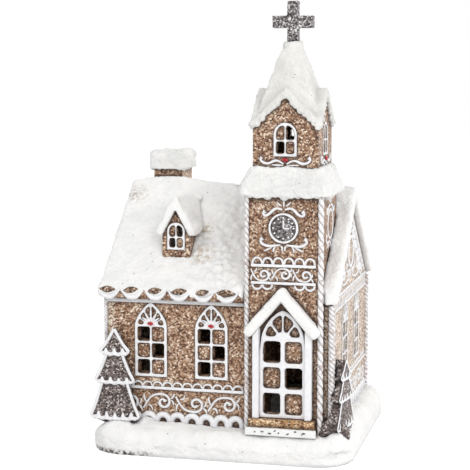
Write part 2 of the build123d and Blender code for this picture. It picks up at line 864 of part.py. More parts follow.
# Belfry: four gabled walls under a cross-gabled roof
belfry_slope_x = gable_outline(belfry_width / 2, belfry_foot, belfry_eave, belfry_rise)
belfry_slope_y = gable_outline(belfry_depth / 2, belfry_foot, belfry_eave, belfry_rise)
belfry_room = prism_y(moved(belfry_slope_x, tower_x), tower_y - belfry_depth / 2, tower_y + belfry_depth / 2)
belfry_room += prism_x(moved(belfry_slope_y, tower_y), tower_x - belfry_width / 2, tower_x + belfry_width / 2)
belfry_window = window_faces(
    belfry_window_width,
    belfry_window_spring,
    belfry_window_rise,
    [belfry_window_rail],
    belfry_window_spring + belfry_window_rise,
    0,
    frame_edge,
    frame_bar,
)
for name, direction, length, reach in (
    ("front", (0, -1, 0), belfry_width, belfry_depth),
    ("rear", (0, 1, 0), belfry_width, belfry_depth),
    ("left", (-1, 0, 0), belfry_depth - 2 * belfry_wall, belfry_width),
    ("right", (1, 0, 0), belfry_depth - 2 * belfry_wall, belfry_width),
):
    outward = Vector(*direction)
    origin = Vector(tower_x, tower_y, belfry_foot) + outward * (reach / 2)
    plane = Plane(origin, x_dir=Vector(0, 0, 1).cross(outward), z_dir=outward)
    tall = belfry_height + belfry_rise
    sheet = plane * Rectangle(length, tall, align=(Align.CENTER, Align.MIN))
    wall = extrude(sheet, amount=-belfry_wall) & belfry_room
    wall, frame = set_window(
        wall, plane, (0, belfry_window_sill), belfry_window, belfry_wall, frame_relief
    )
    save(wall, f"belfry_{name}_wall")
    save(frame, f"belfry_window_{name}")

# Spire: snow over the four gables, drawn up to a knob that carries the cross
roof_x = chevron(belfry_width / 2, belfry_eave, belfry_rise, belfry_snow, belfry_overhang)
roof_y = chevron(belfry_depth / 2, belfry_eave, belfry_rise, belfry_snow, belfry_overhang)
half_depth = belfry_depth / 2 + belfry_rake
half_width = belfry_width / 2 + belfry_rake
spire = prism_y(moved(roof_x, tower_x), tower_y - half_depth, tower_y + half_depth)
spire += prism_x(moved(roof_y, tower_y), tower_x - half_width, tower_x + half_width)
spire_seat = Pos(tower_x, tower_y, belfry_eave)
spire_levels = (
    (spire_foot, spire_foot_width),
    (spire_waist, spire_waist_width),
    (spire_neck, spire_neck_width),
)
for (low, wide), (high, narrow) in zip(spire_levels, spire_levels[1:]):
    foot = Pos(0, 0, low) * Rectangle(wide, wide)
    head = Pos(0, 0, high) * Rectangle(narrow, narrow)
    spire += spire_seat * loft([foot, head])
knob = Cylinder(spire_knob_radius, spire_knob_height, align=upright)
knob = fillet(knob.edges().sort_by(Axis.Z)[-1:], spire_knob_round)
spire += spire_seat * Pos(0, 0, spire_neck) * knob
clear = base_width
below_x = [roof_x[3], roof_x[2], (roof_x[2][0], belfry_foot), (roof_x[4][0], belfry_foot), roof_x[4]]
below_y = [roof_y[3], roof_y[2], (roof_y[2][0], belfry_foot), (roof_y[4][0], belfry_foot), roof_y[4]]
spire -= prism_y(moved(below_x, tower_x), tower_y - clear, tower_y + clear)
spire -= prism_x(moved(below_y, tower_y), tower_x - clear, tower_x + clear)
pin_room = Cylinder(cross_pin_radius + pin_clearance, cross_pin_length + seat_gap, align=hanging)
spire -= Pos(tower_x, tower_y, spire_top) * pin_room
save(spire, "spire_snow_roof")

# Cross with a pin that sits in the spire's knob
cross_face = Plane((tower_x, tower_y, spire_top), x_dir=(1, 0, 0), z_dir=(0, -1, 0))
cross_outline = Rectangle(cross_bar, cross_height, align=(Align.CENTER, Align.MIN))
cross_outline += Pos(0, cross_arm_rise) * Rectangle(cross_span, cross_arm)
cross = extrude(cross_face * cross_outline, amount=cross_thickness / 2, both=True)
cross_pin = Cylinder(cross_pin_radius, cross_pin_length, align=hanging)
cross += Pos(tower_x, tower_y, spire_top) * cross_pin
save(cross, "spire_cross")


def tree_tier(tier, width, height):
    """Half width and height above the ground of one tier's lower edge, counted from the top."""
    half = width / 2 * (tier + 2) / (tree_tiers + 2)
    foot = height * (1 - (tier / tree_tiers) ** tier_growth)
    return half, foot


def tree_outline(width, height, inset=0):
    """Fir tree of tiers that widen towards the foot, or the same outline drawn further in."""
    right = [(0, height - 2.5 * inset)]
    for tier in range(1, tree_tiers + 1):
        half, foot = tree_tier(tier, width, height)
        right.append((half - 1.6 * inset, foot + inset))
        if tier < tree_tiers:
            right.append((half - tree_notch - 1.2 * inset, foot + tree_lift + inset))
    left = [(-x, y) for x, y in reversed(right[1:])]
    return polygon(right + left)


# Trees: brown biscuit bodies with a raised white border
front_tree_y = nave_front - rope_room
front_tree_plane = Plane(
    (nave_left + tree_front_place, front_tree_y - tree_front_thickness, base_height),
    x_dir=(1, 0, 0),
    z_dir=(0, -1, 0),
)
side_tree_turn = radians(tree_side_turn)
side_tree_plane = Plane(
    (nave_right + tree_side_reach, nave_front + tree_side_place, base_height),
    x_dir=(sin(side_tree_turn), cos(side_tree_turn), 0),
    z_dir=(cos(side_tree_turn), -sin(side_tree_turn), 0),
)
corner_bead = Cylinder(rope_room, wall_height, align=upright)
tree_limit = nave_body + Pos(nave_right, nave_front, base_height) * corner_bead
for name, plane, width, height, thickness in (
    ("front", front_tree_plane, tree_front_width, tree_front_height, tree_front_thickness),
    ("side", side_tree_plane, tree_side_width, tree_side_height, tree_side_thickness),
):
    face = tree_outline(width, height)
    save(extrude(plane * face, amount=-thickness) - tree_limit, f"tree_{name}")
    border = face - tree_outline(width, height, tree_border)
    for tier in range(1, tree_tiers):
        half, foot = tree_tier(tier, width, height)
        bar = Rectangle(2 * (half - tree_notch), tree_border)
        border += Pos(0, foot + tree_lift + tree_border / 2) * bar
    save(extrude(plane * border, amount=tree_icing), f"tree_{name}_icing")
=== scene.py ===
# %% [markdown]
# A lighted gingerbread church for a holiday village. The solids come in as a fixed frame, in metres.
# Everything below dresses that frame: snow, biscuit with glitter, piped icing, twisted ropes and trees.

# %% Load the frame
import json
import math
import random
import bpy
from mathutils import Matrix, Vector

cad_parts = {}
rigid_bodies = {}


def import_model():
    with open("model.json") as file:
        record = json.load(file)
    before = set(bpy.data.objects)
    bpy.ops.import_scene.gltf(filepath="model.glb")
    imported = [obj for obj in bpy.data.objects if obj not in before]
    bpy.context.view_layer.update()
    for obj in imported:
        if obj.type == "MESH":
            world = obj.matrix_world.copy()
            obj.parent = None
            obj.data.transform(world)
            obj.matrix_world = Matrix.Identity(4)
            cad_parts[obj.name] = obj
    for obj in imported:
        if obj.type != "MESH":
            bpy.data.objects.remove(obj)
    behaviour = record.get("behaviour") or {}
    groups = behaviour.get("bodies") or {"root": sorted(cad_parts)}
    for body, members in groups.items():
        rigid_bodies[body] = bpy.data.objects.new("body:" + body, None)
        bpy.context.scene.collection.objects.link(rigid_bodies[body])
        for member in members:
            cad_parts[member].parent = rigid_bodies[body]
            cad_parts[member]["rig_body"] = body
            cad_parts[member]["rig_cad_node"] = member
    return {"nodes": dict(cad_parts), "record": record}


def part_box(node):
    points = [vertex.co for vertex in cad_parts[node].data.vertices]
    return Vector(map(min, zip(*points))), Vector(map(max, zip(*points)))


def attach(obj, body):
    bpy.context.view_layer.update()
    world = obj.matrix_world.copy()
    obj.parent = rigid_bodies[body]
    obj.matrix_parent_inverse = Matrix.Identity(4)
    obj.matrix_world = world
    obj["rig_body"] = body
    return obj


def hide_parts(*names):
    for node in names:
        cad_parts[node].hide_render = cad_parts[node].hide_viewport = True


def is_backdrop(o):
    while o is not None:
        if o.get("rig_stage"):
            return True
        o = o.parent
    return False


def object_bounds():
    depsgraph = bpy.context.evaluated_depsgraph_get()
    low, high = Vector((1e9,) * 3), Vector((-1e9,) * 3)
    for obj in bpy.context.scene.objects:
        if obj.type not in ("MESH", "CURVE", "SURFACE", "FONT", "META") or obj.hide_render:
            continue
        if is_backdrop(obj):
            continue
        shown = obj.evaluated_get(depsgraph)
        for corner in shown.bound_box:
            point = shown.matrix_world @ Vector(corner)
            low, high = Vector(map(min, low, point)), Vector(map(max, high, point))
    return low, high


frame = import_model()
cad_low, cad_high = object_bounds()
nodes = frame["nodes"]
bpy.ops.object.select_all(action="DESELECT")
mm = 0.001
print("frame with", len(nodes), "nodes, size", [round(side, 3) for side in cad_high - cad_low])

# %% [markdown]
# The camera stands a little to the right of the front and looks slightly down, with a long lens.
# A long lens keeps the uprights nearly parallel, as in a catalogue picture.

# %% Camera
eye = Vector((190.054, -796.505, 213.442)) * mm
target = Vector((3.985, -40.676, 121.037)) * mm
gaze = (target - eye).to_track_quat("-Z", "Y")
bpy.ops.object.camera_add(location=eye, rotation=gaze.to_euler())
camera = bpy.context.object
camera.data.sensor_width = 36
camera.data.lens = 107.43
bpy.context.scene.camera = camera
bpy.context.scene.view_settings.view_transform = "Standard"
print("camera", round((target - eye).length, 3), "m from its target")

# %% [markdown]
# Shader maths reads best as plain arithmetic. Wire holds one output of a node and adds Math nodes
# when it is added, multiplied or compared. Nodes holds a node tree, and its node method adds any
# other node: settings first, then the values or wires of its sockets.


# %% Wires and nodes
class Wire:
    """One output of a shader node. Arithmetic on it adds Math nodes."""

    def __init__(self, owner, socket):
        self.owner = owner
        self.socket = socket

    def math(self, operation, first, second):
        return self.owner.node("ShaderNodeMath", {"operation": operation}, {0: first, 1: second})

    def __add__(self, other):
        return self.math("ADD", self, other)

    def __sub__(self, other):
        return self.math("SUBTRACT", self, other)

    def __rsub__(self, other):
        return self.math("SUBTRACT", other, self)

    def __mul__(self, other):
        return self.math("MULTIPLY", self, other)

    def __gt__(self, other):
        return self.math("GREATER_THAN", self, other)

    def __lt__(self, other):
        return self.math("LESS_THAN", self, other)

    __radd__ = __add__
    __rmul__ = __mul__


class Nodes:
    """A node tree in the making: it adds nodes and hands back their outputs."""

    def __init__(self, tree, end):
        self.tree = tree
        tree.nodes.clear()
        self.output = tree.nodes.new(end)

    def feed(self, socket, value):
        if isinstance(value, Wire):
            self.tree.links.new(value.socket, socket)
        elif socket.type == "RGBA":
            socket.default_value = (*value, 1)
        else:
            socket.default_value = value

    def node(self, kind, settings=None, inputs=None, output=0):
        node = self.tree.nodes.new(kind)
        settings = dict(settings or {})
        for index, (position, colour) in enumerate(settings.pop("stops", ())):
            elements = node.color_ramp.elements
            element = elements[index] if index < 2 else elements.new(position)
            element.position = position
            element.color = (*colour, 1)
        for key, value in settings.items():
            setattr(node, key, value)
        for key, value in (inputs or {}).items():
            self.feed(node.inputs[key], value)
        return Wire(self, node.outputs[output])

    def show(self, shader):
        self.feed(self.output.inputs[0], shader)

    def seen_by(self, *ways):
        """1 for the kinds of ray that are named, and 0 for all others."""
        flags = [self.node("ShaderNodeLightPath", output=f"Is {way} Ray") for way in ways]
        return sum(flags) > 0.5


def paint(red, green, blue):
    """A colour as it shows on a screen, 0 to 255, in the linear values that shaders take."""
    return tuple(((c / 255 + 0.055) / 1.055) ** 2.4 for c in (red, green, blue))


print("wires and nodes ready")

# %% [markdown]
# A finish is a material with one Principled shader. Its methods are the few patterns that this object
# needs, all on Object coordinates: noise, a mask near a point, a mix of two colours and a bump.


# %% Finishes
class Finish(Nodes):
    """A material: patterns go into the sockets of its one shader."""

    def __init__(self, name):
        self.material = bpy.data.materials.new(name)
        self.material.use_nodes = True
        super().__init__(self.material.node_tree, "ShaderNodeOutputMaterial")
        self.shader = self.tree.nodes.new("ShaderNodeBsdfPrincipled")
        self.tree.links.new(self.shader.outputs[0], self.output.inputs[0])
        self.place = self.node("ShaderNodeTexCoord", output="Object")

    def ramp(self, value, *stops):
        return self.node("ShaderNodeValToRGB", {"stops": stops}, {0: value})

    def mix(self, share, first, second):
        return self.node("ShaderNodeMix", {"data_type": "RGBA"}, {0: share, 6: first, 7: second}, 2)

    def noise(self, size, detail=3, rough=0.5):
        inputs = {"Vector": self.place, "Scale": 1 / size, "Detail": detail, "Roughness": rough}
        return self.node("ShaderNodeTexNoise", None, inputs)

    def between(self, value, low, high):
        inputs = {"Value": value, "From Min": low, "From Max": high}
        return self.node("ShaderNodeMapRange", None, inputs)

    def near(self, centre, reach):
        """1 at a point of the object and 0 at a distance from it."""
        ends = {0: self.place, 1: centre}
        gap = self.node("ShaderNodeVectorMath", {"operation": "DISTANCE"}, ends, "Value")
        return self.between(gap, reach, 0.25 * reach)

    def open_air(self, reach):
        """1 on open ground and less in a corner, looking around as far as the reach."""
        return self.node("ShaderNodeAmbientOcclusion", {"samples": 6}, {"Distance": reach}, "AO")

    def bump(self, height, depth, normal=None):
        inputs = {"Height": height, "Distance": depth, "Strength": 1}
        if normal:
            inputs["Normal"] = normal
        return self.node("ShaderNodeBump", None, inputs)

    def surface(self, inputs):
        for key, value in inputs.items():
            self.feed(self.shader.inputs[key], value)
        return self.material


print("finishes ready")

# %% [markdown]
# A plain pale floor and soft light. The world is white for the camera and in reflections, and gentle for
# the object. The floor is lifted towards white in the same way, and still keeps the object's shadow.
# Seen from below, the floor is clear, so that the underside with its battery door can be looked at.

# %% Stage and light
bpy.ops.mesh.primitive_plane_add(size=8)
floor = bpy.context.object
floor.name = "studio_floor"
floor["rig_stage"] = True
cover = Finish("floor paper")
paper = cover.node("ShaderNodeBsdfDiffuse", None, {"Color": paint(244, 244, 244)})
glow = cover.node("ShaderNodeEmission", None, {"Color": (1, 1, 1), "Strength": 1.2})
seen = cover.seen_by("Camera", "Glossy") * 0.8
lifted = cover.node("ShaderNodeMixShader", None, {0: seen, 1: paper, 2: glow})
clear = cover.node("ShaderNodeBsdfTransparent")
below = cover.node("ShaderNodeNewGeometry", output="Backfacing")
cover.show(cover.node("ShaderNodeMixShader", None, {0: below, 1: lifted, 2: clear}))
floor.data.materials.append(cover.material)

room_light = 0.58
world = bpy.data.worlds.new("studio")
bpy.context.scene.world = world
world.use_nodes = True
sky = Nodes(world.node_tree, "ShaderNodeOutputWorld")
gentle = sky.node("ShaderNodeBackground", None, {"Color": (1, 1, 1), "Strength": room_light})
white = sky.node("ShaderNodeBackground", None, {"Color": (1, 1, 1), "Strength": 1})
seen = sky.seen_by("Camera", "Glossy", "Transmission")
sky.show(sky.node("ShaderNodeMixShader", None, {0: seen, 1: gentle, 2: white}))

lamp_size = 0.6
lamps = (
    ("key_light", (-0.35, -0.85, 0.9), 3.5),
    ("fill_light", (0.55, -0.85, 0.6), 4.0),
    ("side_light", (1.0, 0.05, 0.35), 2.6),
    ("back_light", (0.25, 0.85, 0.65), 2.4),
)
middle = (cad_low + cad_high) / 2
for name, place, power in lamps:
    aim = (middle - Vector(place)).to_track_quat("-Z", "Y")
    bpy.ops.object.light_add(type="AREA", location=place, rotation=aim.to_euler())
    lamp = bpy.context.object
    lamp.name = name
    lamp.data.size = lamp_size
    lamp.data.energy = power
print("stage with", len(lamps), "soft lamps")

# %% [markdown]
# The biscuit is a brown casting strewn with glitter. The grains could be thousands of flakes, but a
# Voronoi pattern does the same with no faces: each cell has its own colour, gloss and tilt, so that some
# grains catch the light. A slow noise makes the blotches, and the occlusion node darkens the corners
# beside the icing and inside the window openings, partly as the painter's dark wash and partly as painted
# shade.
# The tower is a little deeper than the nave, the gables get a lighter copy as painted light, and the trees
# and the cross are grey.


# %% Glitter finish
def glitter(name, *tones, darken_from=0.96, darken_full=0.6):
    """Glitter in four tones: deep, body, pale and spark. Wash and painted shade grow from darken_from to
    darken_full.
    """
    deep, body, pale, spark = (paint(*tone) for tone in tones)
    grain = 0.85 * mm
    lean = 0.7
    f = Finish(name)
    coordinates = {"Vector": f.place, "Scale": 1 / grain}
    cell = f.node("ShaderNodeTexVoronoi", None, coordinates, "Color")
    edge = f.node("ShaderNodeTexVoronoi", None, coordinates, "Distance")
    lot = f.node("ShaderNodeSeparateColor", None, {0: cell}, 0)
    gloss = f.node("ShaderNodeSeparateColor", None, {0: cell}, 1)
    blotch = f.noise(9 * mm)
    tone = lot * 0.8 + blotch * 0.4 - 0.1
    colour = f.ramp(tone, (0, deep), (0.4, body), (0.22, deep), (0.68, pale), (0.95, spark))
    tilt = f.node("ShaderNodeVectorMath", {"operation": "SUBTRACT"}, {0: cell, 1: (0.5, 0.5, 0.5)})
    tilt = f.node("ShaderNodeVectorMath", {"operation": "SCALE"}, {0: tilt, "Scale": lean})
    normal = f.node("ShaderNodeNewGeometry", output="Normal")
    normal = f.node("ShaderNodeVectorMath", {"operation": "ADD"}, {0: normal, 1: tilt})
    normal = f.node("ShaderNodeVectorMath", {"operation": "NORMALIZE"}, {0: normal})
    # Partly the painter's dark wash beside the icing, partly painted shade in corners and window openings.
    wash_and_shade = f.between(f.open_air(3 * mm), darken_from, darken_full) * 0.92
    return f.surface({
        "Base Color": f.mix(wash_and_shade, colour, tuple(0.3 * c for c in deep)),
        "Roughness": 0.7 - gloss * 0.45,
        "Metallic": (lot > 0.78) * 0.35,
        "Normal": f.bump(edge * -1 + 1, 0.5 * grain, normal),
    })


gingerbread = glitter("gingerbread", (90, 56, 37), (146, 108, 79), (182, 148, 120), (248, 234, 216))
golden = glitter("golden_gingerbread", (104, 66, 34), (176, 130, 84), (206, 168, 124), (250, 234, 206))
grey = glitter("grey_gingerbread", (41, 32, 32), (85, 72, 69), (122, 107, 102), (232, 224, 220))
# A darker copy of the glitter: painted shade, for the recessed lenses under the eaves.
shaded = glitter("shaded_gingerbread", (56, 38, 28), (112, 82, 60), (152, 122, 98), (236, 222, 206))
dark = glitter("dark_gingerbread", (43, 39, 41), (95, 89, 89), (138, 130, 130), (240, 238, 240))
tower_bread = glitter("tower_gingerbread", (82, 50, 33), (137, 100, 72), (172, 138, 111), (246, 230, 210))
# A lighter copy of the glitter for the gables: painted light.
painted_light_bread = glitter(
    "frosted_gingerbread", (110, 78, 56), (190, 162, 138), (228, 208, 188), (253, 246, 236),
    darken_from=0.98, darken_full=0.72,
)
print("seven glitter finishes")

# %% [markdown]
# Snow and icing are white and matt. Snow is coarse, with a few specks of dirt, and its hollows are painted
# grey as shade; the icing's corners are painted grey in the same way. The snow turns dark brown along the
# base's lower edge near the front left corner, and has tan patches of painted shade beside the dormer. The
# spire and the collar get greyer copies of the snow, as painted shade. The ropes are worn through to the
# biscuit in places.


# %% Snow and icing finishes
def snow(name, low, high, tint_patches=()):
    """Snow between two whites. Each tint patch is a centre, reach, tint, raggedness and upper limit."""
    f = Finish(name)
    drift = f.noise(14 * mm)
    colour = f.mix(f.between(drift, 0.3, 0.7), low, high)
    # Painted shade: the snow turns grey in its hollows.
    painted_hollow_shade = f.between(f.open_air(3 * mm), 0.95, 0.4) * 0.6
    colour = f.mix(painted_hollow_shade, colour, paint(176, 177, 180))
    speck_gap = 7 * mm
    speck = f.node("ShaderNodeTexVoronoi", None, {"Vector": f.place, "Scale": 1 / speck_gap}, "Distance")
    colour = f.mix((speck < 0.055) * 0.75, colour, paint(96, 84, 74))
    height = f.node("ShaderNodeSeparateXYZ", None, {0: f.place}, "Z")
    off_the_table = f.between(height, 0, 0.2 * mm)
    for centre, reach, patch_tint, ragged, top in tint_patches:
        mask = f.near(centre, reach) * f.between(f.noise(ragged), 0.42, 0.62) * off_the_table
        colour = f.mix(mask * f.between(height, top, 0.6 * top), colour, patch_tint)
    grains = f.noise(1.1 * mm, 3, 0.7) + f.noise(3.2 * mm, 2) * 0.7
    return f.surface({
        "Base Color": colour,
        "Roughness": 0.72 + drift * 0.2,
        "Normal": f.bump(grains, 0.7 * mm),
    })


def icing(name, groove=False):
    """White icing. On ropes the grooves are brown, and the strands are worn."""
    f = Finish(name)
    ripple = f.noise(2.5 * mm)
    colour = f.mix(ripple, paint(222, 222, 226), paint(246, 245, 245))
    if groove:
        deep = f.node("ShaderNodeAttribute", {"attribute_name": "groove"}, None, "Fac")
        worn = f.between(f.noise(1.8 * mm), 0.54, 0.64) * 0.6
        colour = f.mix(worn, colour, paint(150, 118, 94))
        colour = f.mix(f.between(deep, 0.3, 0.85) * 0.9, colour, paint(116, 86, 64))
    else:
        # Painted shade: the icing turns grey in its corners.
        painted_hollow_shade = f.between(f.open_air(1 * mm), 0.75, 0.3) * 0.6
        colour = f.mix(painted_hollow_shade, colour, paint(150, 142, 140))
    return f.surface({
        "Base Color": colour,
        "Roughness": 0.42 + ripple * 0.2,
        "Normal": f.bump(f.noise(1.2 * mm), 0.12 * mm),
    })


front_corner = (-56 * mm, -71 * mm, 1 * mm)
dormer_behind = (-17.5 * mm, -25 * mm, 120 * mm)
dormer_beside = (-15 * mm, -39 * mm, 108 * mm)
roof_crest = (-65 * mm, -4 * mm, 139 * mm)
# The spire and collar whites are greyer copies of the roof whites: painted shade.
plain_whites = (paint(240, 240, 239), paint(251, 250, 248))
spire_shade_whites = (paint(211, 210, 206), paint(236, 235, 231))
collar_shade_whites = (paint(230, 230, 228), paint(246, 245, 243))
dormer_shade_tan = paint(190, 174, 154)
pale_grey = paint(190, 182, 172)
base_edge_brown = paint(62, 44, 32)
no_limit = 300 * mm
# The tan patches behind and beside the dormer are painted shade, where the dormer shades the roof.
roof_snow = snow("roof_snow", *plain_whites, [
    (dormer_behind, 9 * mm, dormer_shade_tan, 2.4 * mm, no_limit),
    (dormer_beside, 10 * mm, dormer_shade_tan, 2.4 * mm, no_limit),
    (roof_crest, 9 * mm, pale_grey, 2 * mm, no_limit),
])
spire_snow = snow("spire_snow", *spire_shade_whites)
collar_snow = snow("collar_snow", *collar_shade_whites)
# Near the front left corner the lowest few millimetres of the base turn dark brown.
ground_snow = snow("ground_snow", *plain_whites, [(front_corner, 30 * mm, base_edge_brown, 2.2 * mm, 3.2 * mm)])
white_icing = icing("white_icing")
rope_icing = icing("rope_icing", groove=True)
print("four snow and two icing finishes")

# %% [markdown]
# Small finishes: red sugar berries, and the plastics and metals of the battery unit under the base.
# Moulded plastic gets a fine grain in its gloss and surface, and the sprung metal a brushed tint.


# %% Small finishes
def simple(name, low, high, rough, grain, metallic=0.0):
    """A speckled finish between two colours, with a fine grain."""
    f = Finish(name)
    speckle = f.noise(grain)
    return f.surface({
        "Base Color": f.mix(f.between(speckle, 0.3, 0.7), low, high),
        "Roughness": rough + speckle * 0.15,
        "Metallic": metallic,
        "Normal": f.bump(speckle, 0.04 * mm),
    })


berry_red = simple("berry_red", paint(150, 22, 32), paint(206, 48, 58), 0.25, 1.5 * mm)
dark_crumb = simple("dark_crumb", paint(40, 32, 28), paint(78, 64, 54), 0.6, 0.8 * mm)
finishes = {
    "tray_plastic": simple("tray_plastic", paint(38, 38, 40), paint(50, 50, 52), 0.45, 0.6 * mm),
    "knob_plastic": simple("knob_plastic", paint(176, 176, 172), paint(196, 196, 192), 0.4, 0.6 * mm),
    "switch_metal": simple("switch_metal", paint(150, 150, 148), paint(186, 186, 184), 0.3, 0.8 * mm, 1.0),
    "cell_jacket": simple("cell_jacket", paint(58, 84, 62), paint(70, 98, 74), 0.3, 4 * mm),
    "contact_metal": simple(
        "contact_metal", paint(176, 170, 156), paint(206, 200, 188), 0.25, 0.7 * mm, 1.0
    ),
    "screw_steel": simple("screw_steel", paint(140, 140, 142), paint(180, 180, 182), 0.32, 0.5 * mm, 1.0),
    "board": simple("board_green", paint(34, 78, 46), paint(44, 96, 58), 0.4, 1.2 * mm),
    "lamp_lens": simple("lamp_lens", paint(232, 222, 186), paint(244, 238, 214), 0.15, 2 * mm),
    "lead_insulation": simple("lead_insulation", paint(150, 34, 30), paint(172, 44, 38), 0.4, 1 * mm),
    "snow": roof_snow,
    "gingerbread": gingerbread,
    "brick": gingerbread,
    "golden_glitter": golden,
    "grey_glitter": grey,
    "dark_glitter": dark,
    "icing": white_icing,
}
for entry in frame["record"]["subparts"]:
    name = entry["node"]
    finish = finishes[entry["material_slot"]]
    if name.endswith("wall") and name.startswith(("tower", "belfry")):
        finish = tower_bread
    # The gables take the lighter copy: painted light.
    elif name.endswith("gable"):
        finish = painted_light_bread
    mesh = nodes[name].data
    mesh.materials.clear()
    mesh.materials.append(finish)
print("finishes on", len(nodes), "nodes")

# %% [markdown]
# Helpers for modelling by hand: pick one piece alone, apply a modifier, copy a solid and merge its
# loose triangles, join pieces, and dress a finished piece with its material and body.


# %% Modelling helpers
def only(*pieces):
    """Select these pieces alone, with the first one active."""
    bpy.ops.object.select_all(action="DESELECT")
    for piece in pieces:
        piece.select_set(True)
    bpy.context.view_layer.objects.active = pieces[0]


def modify(piece, kind, **settings):
    """Add a modifier with its settings and apply it."""
    only(piece)
    modifier = piece.modifiers.new(kind.lower(), kind)
    for key, value in settings.items():
        setattr(modifier, key, value)
    bpy.ops.object.modifier_apply(modifier=modifier.name)


def copy_of(node, name):
    """A copy of a node's mesh, free of its body, with its loose triangles merged."""
    only(nodes[node])
    bpy.ops.object.duplicate()
    piece = bpy.context.object
    piece.name = name
    bpy.ops.object.parent_clear(type="CLEAR_KEEP_TRANSFORM")
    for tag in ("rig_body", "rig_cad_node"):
        del piece[tag]
    bpy.ops.object.mode_set(mode="EDIT")
    bpy.ops.mesh.select_all(action="SELECT")
    bpy.ops.mesh.remove_doubles(threshold=0.001 * mm)
    bpy.ops.object.mode_set(mode="OBJECT")
    return piece


def weigh(piece, weight):
    """Vertex group with a weight for each vertex."""
    group = piece.vertex_groups.new(name="soft")
    for vertex in piece.data.vertices:
        group.add([vertex.index], weight(vertex), "REPLACE")
    return group.name


def outside_out(piece):
    """Faces point outwards again after a mirrored copy."""
    only(piece)
    bpy.ops.object.mode_set(mode="EDIT")
    bpy.ops.mesh.select_all(action="SELECT")
    bpy.ops.mesh.normals_make_consistent(inside=False)
    bpy.ops.object.mode_set(mode="OBJECT")


def settle(piece):
    """Put a piece's place, turn and scale into its mesh."""
    only(piece)
    bpy.ops.object.transform_apply(location=True, rotation=True, scale=True)


def join(name, pieces):
    """Join pieces into the first one, under a new name."""
    only(*pieces)
    bpy.ops.object.join()
    pieces[0].name = name
    settle(pieces[0])
    return pieces[0]


def dress(piece, material, slot, *stands_for, body="house", smooth=True):
    """Give a finished piece its material and body, and the nodes that it stands for. The slot is not used.
    """
    only(piece)
    piece.data.materials.clear()
    piece.data.materials.append(material)
    if smooth:
        bpy.ops.object.shade_smooth()
    if stands_for:
        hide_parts(*stands_for)
    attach(piece, body)
    print(piece.name, len(piece.data.polygons), "faces")
    return piece


def clamp(value):
    """The value, held between 0 and 1."""
    return max(0.0, min(1.0, value))


print("modelling helpers ready")

# %% [markdown]
# Snow lies in soft lumps. Its surface is pushed in and out by clouds of noise in three sizes, and the
# roof has lumps like shingles. A weight for each vertex says how freely the snow moves there: it is held
# on its underside and at the table.


# %% Snow textures and weights
def texture(name, kind, size):
    """A texture for the Displace modifier, with features of a size."""
    made = bpy.data.textures.new(name, kind)
    made.noise_scale = size
    return made


lumps = texture("soft lumps", "CLOUDS", 9 * mm)
crust = texture("crust", "CLOUDS", 3 * mm)
grit = texture("grit", "CLOUDS", 1.5 * mm)
shingles = texture("shingles", "VORONOI", 4.5 * mm)


def free_top(vertex):
    """Snow moves freely where it faces up or out, and is held on its underside."""
    return clamp(0.75 + 2 * vertex.normal.z)


def above_table(vertex):
    """Held at the table and round the battery unit."""
    return clamp(vertex.co.z / (4 * mm) - 0.25) if vertex.normal.z > -0.5 else 0.0


def by_the_tower(vertex):
    """The front roof's lumpy half, between the dormer and the tower."""
    return free_top(vertex) * clamp(1 - abs(vertex.co.x / mm + 2) / 22)


def at_the_chimney(vertex):
    """The crest is higher where snow piles up against the chimney."""
    along = (vertex.co.x / mm + 46) / 24
    across = (vertex.co.y / mm - 4.5) / 9
    return free_top(vertex) * math.exp(-along * along - across * across)


print("four snow textures and four weights")

# %% [markdown]
# A snow solid is copied, joined with a few heaps where snow piles up, and given one even skin by the voxel
# remesh. It is then smoothed and displaced by its weights. Heaps and crumbs are balls that the remesh
# melts into the rest, which is quicker than sculpting and gives the same result each time.

# %% Snow helpers
dice = random.Random(7)
shingle_depth = -4 * mm
chimney_pile = 4 * mm


def heap(place, size):
    """A ball pressed to a size, in millimetres."""
    bpy.ops.mesh.primitive_uv_sphere_add(segments=24, ring_count=16, radius=1)
    piece = bpy.context.object
    piece.scale = Vector(size) * mm
    piece.location = Vector(place) * mm
    settle(piece)
    return piece


def crumbs(start, end, count, size):
    """Lumps of snow scattered along a line, for a ragged edge. Sizes and places are in millimetres."""
    lumps_along = []
    for index in range(count):
        share = (index + dice.uniform(0.1, 0.9)) / count
        spot = Vector(start).lerp(Vector(end), share)
        wide = size * dice.uniform(0.55, 1.25)
        lumps_along.append((spot, (wide, wide, wide * dice.uniform(0.7, 1.1))))
    return lumps_along


def drift(node, name, material, voxel, rounds, swell, hold=free_top, heaps=(), crest=None, rough=None):
    """Snow in place of a node: smoothed for some rounds, then swollen by noise where its weights allow."""
    piece = copy_of(node, name)
    if heaps:
        piece = join(name, [piece] + [heap(place, size) for place, size in heaps])
    modify(piece, "REMESH", mode="VOXEL", voxel_size=voxel)
    held = weigh(piece, hold)
    modify(piece, "SMOOTH", factor=0.6, iterations=rounds, vertex_group=held)
    layers = [(lumps, swell, held), (crust, 0.45 * swell, held), (grit, 0.3 * swell, held)]
    if rough:
        layers.append((shingles, shingle_depth, weigh(piece, rough)))
    if crest:
        piled = weigh(piece, crest)
        modify(piece, "DISPLACE", direction="Z", strength=chimney_pile, mid_level=0, vertex_group=piled)
    for pattern, strength, group in layers:
        modify(piece, "DISPLACE", texture=pattern, strength=strength, mid_level=0.45,
               texture_coords="LOCAL", vertex_group=group)
    return dress(piece, material, "snow", node)


print("snow helpers ready")

# %% [markdown]
# The base is a slab of snow with low heaps against the walls. Its rim has slumped into round shoulders,
# widest on the left, so the vertices near the rim are lowered. The roofs are thick slabs with drips.

